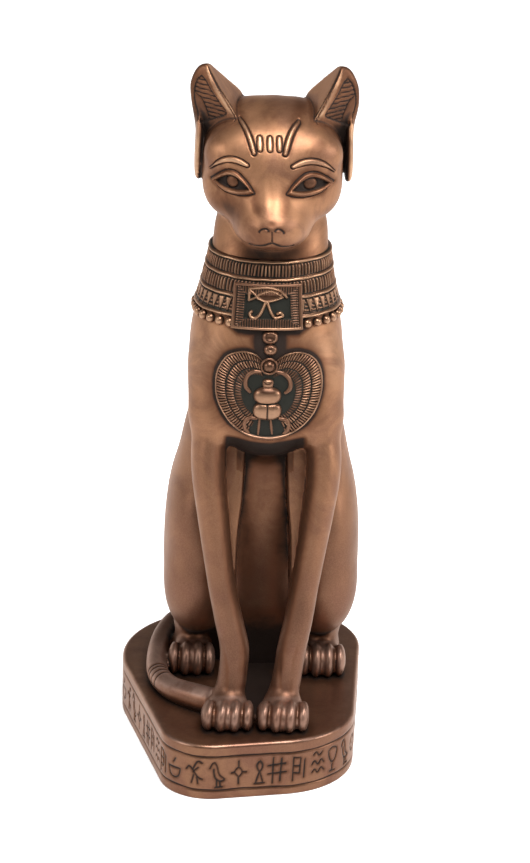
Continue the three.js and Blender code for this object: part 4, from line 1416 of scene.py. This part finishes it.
def scarab_forms():
    """The scarab, its legs and the discs over it, in flat coordinates: x, -lift, height."""
    cup = pillow([0.6, 0.2, 156.3], [3.1, 2.3, 2.6], 2.4)
    second = pillow([0.8, 0.1, 151.5], [2.65, 2.2, 2.15], 2.2)
    cup = scooped(cup, ellipsoid([0.6, -2.8, 156.4], [2.2, 1.4, 1.8]), 0.35)
    second = scooped(second, ellipsoid([0.8, -2.6, 151.9], [1.5, 0.9, 1]), 0.3)

    def sun_ring(x, y, z):
        return np.hypot(np.hypot(x - 0.5, z - 145.1) - 2.95, y + 0.7) - 0.42

    forms = [
        Form(cup, [-3, -3, 153], [4, 2, 160], 0.2),
        Form(second, [-2, -3, 149], [3.6, 2, 154], 0.2),
        Form(sun_ring, [-3.5, -2, 141], [4.5, 1, 149], 0.2),
        Form(ellipsoid([0.5, -0.2, 145.1], [2.3, 2.0, 2.3]), [-2.3, -3, 142], [3.4, 2, 148], 0.2),
        Form(pillow([0.2, -0.3, 138.5], [2.15, 1.8, 1.75], 2.8), [-2.5, -3, 136], [2.6, 2, 141], 0.2),
        Form(pillow([0.1, -0.1, 133.4], [5.35, 2.7, 3.7], 2.2), [-5.8, -3.2, 129], [6, 3, 137.6], 0.6),
        Form(pillow([0.2, -0.1, 127.3], [5.5, 2.7, 3.8], 2.5), [-5.8, -3.4, 123], [6, 3, 131.6], 0.3),
    ]
    for path, radius in SCARAB_LEGS:
        line = [[x, -0.5, z] for x, z in path]
        radii = [radius * 0.75, *[radius] * (len(path) - 2), radius * 0.75]
        low, high = np.min(line, 0) - radius - 0.2, np.max(line, 0) + radius + 0.2
        forms.append(Form(rope(line, radii, 12), low, high, 0.2))
    return forms


def make_scarab(chest, material):
    forms = scarab_forms()
    points, quads = skin(forms, [-10, -3.6, 114], [10, 3.4, 160], 0.27)
    points = settle(forms, points, steps=2)
    x, _, z = points.T
    r = Relief(np.stack([x, z], 1), points[:, 1] < -0.6)
    r.groove(np.array([[0.2, 130.3], [0.2, 123.6]]), 0.22, 0.5, 1)
    r.groove(curve([[-5.4, 131], [-2.4, 130.5], [0.2, 130.4], [2.8, 130.5], [5.6, 131]], 12), 0.24, 0.4, 1)
    r.groove(curve([[-1.4, 139.2], [0.1, 138.5], [1.6, 139.2]], 8), 0.2, 0.3, 0.7)
    height = -r.apply(points, normals_of(forms, points))[:, 1]

    # The discs' hollows, the beetle's shoulders and the sun stay browner
    brown = 0.45 * ((np.hypot(x - 0.6, z - 156.4) < 1.8) | (np.hypot(x - 0.8, z - 152.2) < 0.8))
    brown = np.maximum(brown, 0.5 * np.exp(-((x / 3.4) ** 4)) * soft(z - 135.8, 1.1))
    brown = np.maximum(brown, 0.35 * (np.hypot(x - 0.5, z - 145.1) < 2.2))
    worn = 0.7 * clamp((height - 0.9) / 1.2) * (1 - r.dark) * (1 - brown)
    return make(
        "scarab", chest.lay(x, z + 0.3, height), quads, material,
        patina=np.maximum.reduce([r.dark, clamp(1.3 - height / 0.8), brown]), wear=worn,
    )


# The plinth. Its marks are strokes that spell nothing, as points across and up, from 0 to 1 in height

CROSSED = [
    [(0.3, 0), (0.4, 1)], [(1.3, 0.05), (1.5, 0.95)], [(-0.5, 0.36), (2.3, 0.42)],
    [(-0.4, 0.68), (2.2, 0.74)],
]
GOBLET = [
    [(0, 0.9), (0.9, 1), (1.9, 0.88), (1.5, 0.5), (0.9, 0.36), (0.3, 0.55), (0, 0.9)],
    [(0.9, 0.36), (0.8, 0.02)], [(0.2, 0.04), (1.5, 0)],
]
BIRD = [
    [(0, 0.75), (0.5, 1), (1, 0.86), (1.3, 0.5), (2.2, 0.3)],
    [(0.5, 0.74), (0.7, 0.4), (1.4, 0.24), (2.2, 0.3)],
    [(1, 0.3), (1, 0)], [(1.45, 0.24), (1.55, 0)], [(0.7, 0), (2, 0.02)],
]
WINGED = [
    [(0, 0.55), (0.5, 0.72), (1, 0.55), (1.7, 0.28), (2.4, 0.22)], [(0.9, 0.6), (1.6, 0.96), (2.3, 0.9)],
    [(1, 0.5), (1.8, 0.74)], [(1.1, 0.42), (0.8, 0)], [(1.5, 0.32), (1.7, 0)],
]
LOOP = [
    [(0.9, 1), (0.45, 0.78), (0.9, 0.5), (1.3, 0.78), (0.9, 1)], [(0.9, 0.5), (0.4, 0.06)],
    [(0.9, 0.5), (1.4, 0.06)], [(0.1, 0.02), (1.7, 0.04)],
]
WAVES = [
    [(0, 0.2), (0.6, 0.34), (1.2, 0.18), (1.8, 0.34), (2.4, 0.2)],
    [(0, 0.52), (0.6, 0.66), (1.2, 0.5), (1.8, 0.66), (2.4, 0.52)],
    [(0.2, 0.84), (0.8, 0.96), (1.4, 0.82), (2, 0.96)],
]
BASIN = [
    [(0, 0.5), (0.4, 0.2), (1.2, 0.1), (2, 0.22), (2.3, 0.52)], [(-0.1, 0.52), (2.4, 0.54)],
    [(0.9, 0.7), (1.4, 0.95)],
]
PUPIL = [
    [(0, 0.5), (0.7, 0.78), (1.5, 0.76), (2.2, 0.5), (1.5, 0.26), (0.7, 0.24), (0, 0.5)],
    [(1, 0.48), (1.2, 0.52)],
]
PANES = [
    [(0, 0), (0.05, 0.98)], [(0.05, 0.95), (1.1, 0.9)], [(1.1, 0.9), (1, 0.3)], [(0.05, 0.62), (1.1, 0.58)],
    [(0.05, 0.34), (1, 0.3)], [(1.7, 0.1), (1.75, 0.85)],
]
RAYED = [
    [(1, 0.3), (0.5, 0.5), (1, 0.72), (1.5, 0.5), (1, 0.3)], [(1, 0.72), (1, 1)], [(1, 0.3), (1, 0)],
    [(1.5, 0.5), (2.1, 0.52)], [(0.5, 0.5), (-0.1, 0.48)],
]
MARKS = [PANES, BASIN, WINGED, BIRD, RAYED, LOOP, CROSSED, PANES, WAVES, GOBLET, BIRD, PUPIL]
MARK_DEPTH = 0.5


def band_marks(around):
    """The strokes' paths round the band and their half widths, each mark a little different."""
    low, high = LOWER_GROOVE_RISE + 1.4, PLINTH_HEIGHT - UPPER_GROOVE_DROP - 1.5
    tall = high - low
    marks = []
    s, k = 1.0, 0
    while s < around - 5:
        mark = MARKS[k % len(MARKS)]
        size = rng.uniform(0.85, 1.0)
        base = low + rng.uniform(0, tall * (1 - size))
        stretch = rng.uniform(2.5, 3.1)
        for stroke in mark:
            path = [
                [s + x * stretch + rng.normal(0, 0.08), base + y * tall * size + rng.normal(0, 0.1)]
                for x, y in stroke
            ]
            marks.append((curve(path, 14 if len(path) > 2 else 4), rng.uniform(0.3, 0.4)))
        s += max(x for stroke in mark for x, _ in stroke) * stretch + rng.uniform(2, 3.4)
        k += 1
    return marks


def plinth_profile():
    """The wall's rows from the foot up: how high each is, and how far in."""
    def quarter_round(radius, count):
        t = np.linspace(0, math.pi / 2, count)[1:]
        return np.stack([radius * (1 - np.sin(t)), radius * (1 - np.cos(t))], 1)

    foot = quarter_round(PLINTH_FOOT_EDGE, 5)[::-1]
    rim = quarter_round(PLINTH_EDGE, 9)
    rim[:, 0] = PLINTH_HEIGHT - rim[:, 0]
    wall = np.stack([np.linspace(PLINTH_FOOT_EDGE, PLINTH_HEIGHT - PLINTH_EDGE, 50), np.zeros(50)], 1)
    return np.vstack([foot, wall, rim])


def draw_wall(s, z, around):
    """Two lines that wander a little, the marks between them, and the wall darkened a little all over and
    more round the marks and towards its foot.
    """
    r = Relief(np.stack([s, z], 1))
    turn = s / around * 2 * math.pi
    wander = 0.22 * np.sin(3 * turn + 1) + 0.14 * np.sin(11 * turn) + 0.08 * np.sin(29 * turn + 2)
    for height, amount in ((LOWER_GROOVE_RISE, 1), (PLINTH_HEIGHT - UPPER_GROOVE_DROP, 0.7)):
        groove = soft(z - height - wander * amount, GROOVE_WIDTH * 0.42)
        r.lift -= GROOVE_DEPTH * groove
        r.darken(groove)
    wall_darkening = 0.15 + 0.18 * np.exp(-z / 2.5)
    for path, half in band_marks(around):
        r.groove(path, half, MARK_DEPTH, 1, 0.08)
        here = r.near(path, 3)
        gap, _ = nearest(path, r.flat[here])
        wall_darkening[here] = np.maximum(wall_darkening[here], 0.4 * soft(gap, 1.5))
    r.darken(wall_darkening)
    return r


def top_patina(points):
    """How dark the plinth's top is: a little all over, and with painted shade beside the cat, under it, and
    most of all between its legs.
    """
    body = body_forms()
    closed_shade = np.zeros(len(points))
    for reach, weight in PLINTH_REACHES:
        closed_shade += weight * clamp((reach - read(body, points + [0, 0, reach * 0.7])) / reach)
    x, y, _ = points.T
    between = np.exp(-(((x - 0.5) / 11) ** 4)) * clamp((y + 48) / 14) * (y < 20)
    return np.maximum(np.maximum(closed_shade, 0.22), 0.95 * between)


def make_plinth(material):
    """The wall, and the top and the underside, drawn in towards the middle."""
    columns = 1000
    outline = plinth_outline(60)
    line = np.vstack([outline, outline[:1]])
    run = run_along(line)
    even = np.linspace(0, run[-1], columns, endpoint=False)
    ring = np.stack([np.interp(even, run, column) for column in line.T], 1)
    ahead = np.roll(ring, -1, 0) - np.roll(ring, 1, 0)
    out = np.stack([ahead[:, 1], -ahead[:, 0]], 1)
    out /= np.linalg.norm(out, axis=1, keepdims=True)

    profile = plinth_profile()
    rows = len(profile)
    z, inset = np.repeat(profile, columns, axis=0).T
    r = draw_wall(np.tile(even, rows), z, run[-1])
    flat = np.tile(ring, (rows, 1)) - np.tile(out, (rows, 1)) * (inset - r.lift)[:, None]
    centre = ring.mean(0)

    def drawn_in(edge, share, height):
        return np.column_stack([centre + (edge - centre) * share, np.full(columns, height)])

    feet = [drawn_in(flat[:columns], k, 0) for k in (0.1, 0.55)]
    tops = [drawn_in(flat[-columns:], k, PLINTH_HEIGHT) for k in np.linspace(1, 0.04, 26)[1:]]
    points = np.vstack([*feet, np.column_stack([flat, z]), *tops, [[*centre, 0]], [[*centre, PLINTH_HEIGHT]]])
    last = len(points) - 2
    faces = sheet_faces(last // columns, columns, round_columns=True).tolist()
    faces += fan(0, columns, last, turned=True) + fan(last - columns, columns, last + 1)

    height = points[:, 2]
    on_top = height > PLINTH_HEIGHT - 0.01
    patina = np.zeros(len(points))
    patina[len(feet) * columns: len(feet) * columns + len(z)] = r.dark
    patina[on_top] = np.maximum(patina[on_top], top_patina(points[on_top] - [0, 0, PLINTH_HEIGHT]))
    rim_wear = 0.55 * soft(height - PLINTH_HEIGHT + 0.55, 0.8) * (~on_top)
    return make(
        "plinth", points, faces, material, over_plinth=False,
        patina=patina, wear=np.maximum(rim_wear, 0.4 * soft(height, 0.9)),
    )


# Materials

DEEP = (0.012, 0.007, 0.0055, 1)
DEEP_GREEN = (0.007, 0.009, 0.007, 1)
LOW_TONE = (0.102, 0.046, 0.028, 1)
LOW_CLOUD = (0.132, 0.062, 0.039, 1)
# the greyed colour of rubbed low parts, which also paints the pale sheen they reflect
LOW_WORN_SHEEN = (0.3, 0.19, 0.15, 1)
EDGE_TINT = (0.95, 0.82, 0.74, 1)
DUSK = (0.125, 0.055, 0.036, 1)
REDDER = (1.1, 0.9, 0.84, 1)  # how the finish changes as it darkens
METAL = 0.78
GOLDEN_HEIGHTS = (0.04, 0.18)  # the brown grows more golden between these heights, in metres, partly as painted light that falls off down the figure
FINISHES = {
    "bronze_skin": {
        "worn": (0.49, 0.3, 0.182, 1), "middle": (0.27, 0.131, 0.068, 1), "low_tone": LOW_TONE,
        "deep": DEEP, "sheen": 0.45, "dusk": 0.6,
    },
    "bronze_carved": {
        "worn": (0.34, 0.195, 0.115, 1), "middle": (0.14, 0.07, 0.042, 1), "low_tone": LOW_TONE,
        "deep": DEEP_GREEN, "sheen": 0.33, "dusk": 0.3,
    },
    "bronze_plinth": {
        "worn": (0.37, 0.21, 0.12, 1), "middle": (0.185, 0.093, 0.048, 1),
        "low_tone": (0.16, 0.078, 0.044, 1), "deep": DEEP, "sheen": 0.36, "dusk": 0.7,
    },
}


class Nodes:
    """The nodes of a material or a world, with short ways to add and join them."""

    def __init__(self, owner):
        owner.use_nodes = True
        self.tree = owner.node_tree

    def add(self, kind, **settings):
        made = self.tree.nodes.new("ShaderNode" + kind)
        for key, value in settings.items():
            setattr(made, key, value)
        return made

    def give(self, node, values):
        """Sets inputs of a node to plain values, or joins them to outputs of other nodes."""
        for key, value in values.items():
            if isinstance(value, bpy.types.NodeSocket):
                self.tree.links.new(value, node.inputs[key])
            else:
                node.inputs[key].default_value = value

    def calc(self, operation, a, b, held=False):
        made = self.add("Math", operation=operation, use_clamp=held)
        self.give(made, {0: a, 1: b})
        return made.outputs[0]

    def stir(self, value, noise, amount):
        """A value moved up and down by a noise."""
        return self.calc("ADD", value, self.calc("MULTIPLY", self.calc("SUBTRACT", noise, 0.5), amount))

    def mix(self, share, a, b):
        made = self.add("Mix", data_type="RGBA")
        self.give(made, {"Factor": share, "A": a, "B": b})
        return made.outputs["Result"]

    def ramp(self, value, low, high, to_low=0.0, to_high=1.0):
        """A smooth change from one number to another while the value goes from low to high."""
        made = self.add("MapRange", interpolation_type="SMOOTHSTEP")
        self.give(made, {"Value": value, "From Min": low, "From Max": high})
        self.give(made, {"To Min": to_low, "To Max": to_high})
        return made.outputs["Result"]

    def cloud(self, scale, detail, rough, twist=0.0):
        made = self.add("TexNoise")
        self.give(made, {"Vector": self.add("TexCoord").outputs["Object"], "Scale": scale, "Detail": detail})
        self.give(made, {"Roughness": rough, "Distortion": twist})
        return made.outputs["Fac"]

    def place(self, kind):
        """Coordinates of one kind, as three numbers."""
        split = self.add("SeparateXYZ")
        self.give(split, {0: self.add("TexCoord").outputs[kind]})
        return split.outputs


def bronze(name, worn, middle, low_tone, deep, sheen, dusk):
    """Cold-cast bronze: brown metal powder, rubbed brighter where it stands out and brightened by painted
    highlights, dark with patina and painted shade in its hollows.
    """
    material = bpy.data.materials.new(name)
    n = Nodes(material)
    patina, wear = (n.add("Attribute", attribute_name=key).outputs["Fac"] for key in ("patina", "wear"))
    broad = n.cloud(22, 3, 0.5, 0.6)
    mottle = n.cloud(140, 5, 0.6, 0.3)
    smoke = n.cloud(46, 5, 0.62, 1.2)
    powder = n.cloud(1900, 3, 0.6)

    # Colour: brown, clouded, more golden up the figure, partly as painted light, brighter with wear and
    # painted highlight, then dark with patina and painted shade where closed in
    golden = n.ramp(n.stir(n.place("Object")["Z"], broad, 0.12), *GOLDEN_HEIGHTS)
    base = n.mix(golden, low_tone, middle)
    clouded = n.mix(n.ramp(broad, 0.35, 0.68), base, n.mix(golden, LOW_CLOUD, middle))
    rubbed = n.ramp(n.stir(wear, mottle, 0.55), 0.25, 0.95, 0.0, 0.85)
    bright = n.mix(rubbed, clouded, n.mix(golden, LOW_WORN_SHEEN, worn))
    dusky = n.mix(n.ramp(smoke, 0.42, 0.64, 0.0, dusk), bright, DUSK)
    spots = n.stir(n.stir(0.0, mottle, 0.26), smoke, 0.5)
    sunk = n.calc("ADD", patina, n.calc("MULTIPLY", spots, n.ramp(patina, 0.02, 0.3, 0.25, 1.0)))
    half_deep = tuple(0.35 * m * r + 0.65 * d for m, d, r in zip(middle, deep, REDDER))
    shaded = n.mix(n.ramp(sunk, 0.1, 0.55, 0.0, 0.88), dusky, half_deep)
    darkest = n.mix(n.ramp(sunk, 0.45, 0.85), shaded, deep)
    grain = n.calc("MULTIPLY", n.ramp(powder, 0.3, 0.75, 0.0, 0.07), n.ramp(sunk, 0.1, 0.5, 1.0, 0.1))
    grained = n.mix(grain, darkest, (*(min(1, c * 1.3) for c in worn[:3]), 1))

    # The dark finish in the hollows is duller and less metallic
    hollow = n.ramp(sunk, 0.5, 0.95)
    metallic = n.calc("SUBTRACT", METAL, n.calc("MULTIPLY", hollow, METAL * 0.75))
    rough = n.stir(n.calc("ADD", sheen, n.calc("MULTIPLY", hollow, 0.22)), mottle, 0.16)
    rough = n.calc("SUBTRACT", rough, n.calc("MULTIPLY", wear, 0.05), held=True)

    # The casting's faint unevenness and the grain of the powder
    uneven = n.calc("ADD", n.calc("MULTIPLY", n.cloud(260, 4, 0.55), 0.5), n.calc("MULTIPLY", powder, 0.12))
    dent = n.add("Bump")
    n.give(dent, {"Strength": 0.22, "Distance": 0.0006, "Height": uneven})
    n.give(n.tree.nodes["Principled BSDF"], {
        "Base Color": grained, "Metallic": metallic, "Roughness": rough, "Normal": dent.outputs["Normal"],
        "Specular Tint": EDGE_TINT, "Specular IOR Level": 0.25,
    })
    return material


# Stage

FLOOR_GLOW = (-0.6, 0.6, 0.05, 0.95)
FLOOR_HALF = 4.0
ROOM_BY_HEIGHT = (0.1, 0.5, 1.0, 0.08)
ROOM_BY_DEPTH = (-0.9, -0.1, 0.25, 1.0)
LAMPS = {  # azimuth, height, distance, size, power
    "key": (18, 60, 1.1, 0.65, 22),
    "right": (75, 20, 1.3, 0.5, 8),
    "left": (-62, 25, 1.3, 0.5, 6),
}
LAMP_AIM = (0, 0, 0.13)


def pale_floor():
    """White paper that is lit from below behind the figure, as in a picture taken on a light table."""
    white = bpy.data.materials.new("pale_floor")
    n = Nodes(white)
    n.give(n.tree.nodes["Principled BSDF"], {
        "Base Color": (0.9, 0.9, 0.9, 1), "Roughness": 0.9, "Emission Color": (1, 1, 1, 1),
        "Emission Strength": n.ramp(n.place("Object")["Y"], *FLOOR_GLOW),
    })
    return white


def studio_world():
    """A room that is bright low down behind and beside the figure, and dark above and behind the camera."""
    world = bpy.data.worlds.new("studio")
    n = Nodes(world)
    place = n.place("Generated")
    strength = n.calc("MULTIPLY", n.ramp(place["Z"], *ROOM_BY_HEIGHT), n.ramp(place["Y"], *ROOM_BY_DEPTH))
    n.give(n.tree.nodes["Background"], {"Color": (1, 1, 1, 1), "Strength": strength})
    return world


def lamp(name, azimuth, height, distance, size, power):
    """A square soft box that looks at the middle of the figure."""
    a, e = math.radians(azimuth), math.radians(height)
    back = Vector((math.sin(a) * math.cos(e), -math.cos(a) * math.cos(e), math.sin(e)))
    turn = back.to_track_quat("Z", "Y").to_matrix().to_4x4()
    data = bpy.data.lights.new(name, "AREA")
    data.energy = power
    data.size = size
    box = bpy.data.objects.new(name, data)
    box.matrix_world = Matrix.Translation(Vector(LAMP_AIM) + back * distance) @ turn
    bpy.context.scene.collection.objects.link(box)


def stage():
    """A pale floor under soft studio light."""
    scene = bpy.context.scene
    mesh = bpy.data.meshes.new("floor")
    corners = [(x * FLOOR_HALF, y * FLOOR_HALF, 0) for x, y in ((-1, -1), (1, -1), (1, 1), (-1, 1))]
    mesh.from_pydata(corners, [], [(0, 1, 2, 3)])
    floor = bpy.data.objects.new("floor", mesh)
    scene.collection.objects.link(floor)
    mesh.materials.append(pale_floor())
    scene.world = studio_world()
    scene.view_settings.view_transform = "Standard"
    for name, settings in LAMPS.items():
        lamp(name, *settings)


PHOTO_HEIGHT = 863  # in pixels
CAMERA_FOCUS = 3020.0  # in the same pixels
CAMERA_TURN = math.radians(-2.0)
CAMERA_ROLL = math.radians(1.7)
CAMERA_DISTANCE = 1124.0
CAMERA_HEIGHT = 560.0
CAMERA_AIM = (0.8, 0.0, 129.2)
SENSOR = 36


def place_camera():
    data = bpy.data.cameras.new("camera")
    data.sensor_width = SENSOR
    data.lens = SENSOR * CAMERA_FOCUS / PHOTO_HEIGHT
    data.clip_start, data.clip_end = 0.05, 20
    camera = bpy.data.objects.new("camera", data)
    x = CAMERA_AIM[0] + math.sin(CAMERA_TURN) * CAMERA_DISTANCE
    y = CAMERA_AIM[1] - math.cos(CAMERA_TURN) * CAMERA_DISTANCE
    eye, aim = (Vector(p) for p in to_row([(x, y, CAMERA_HEIGHT), CAMERA_AIM], over_plinth=False))
    turn = (aim - eye).to_track_quat("-Z", "Y").to_matrix().to_4x4()
    camera.matrix_world = Matrix.Translation(eye) @ turn @ Matrix.Rotation(CAMERA_ROLL, 4, "Z")
    bpy.context.scene.collection.objects.link(camera)
    bpy.context.scene.camera = camera


stage()
place_camera()
skin_bronze, carved_bronze, plinth_bronze = (bronze(name, **finish) for name, finish in FINISHES.items())
chest = Chest()
make_head(skin_bronze)
make_body(skin_bronze)
make_collar(carved_bronze)
make_beads(carved_bronze)
make_plaque(chest, carved_bronze)
make_pectoral(chest, carved_bronze)
make_scarab(chest, carved_bronze)
make_plinth(plinth_bronze)
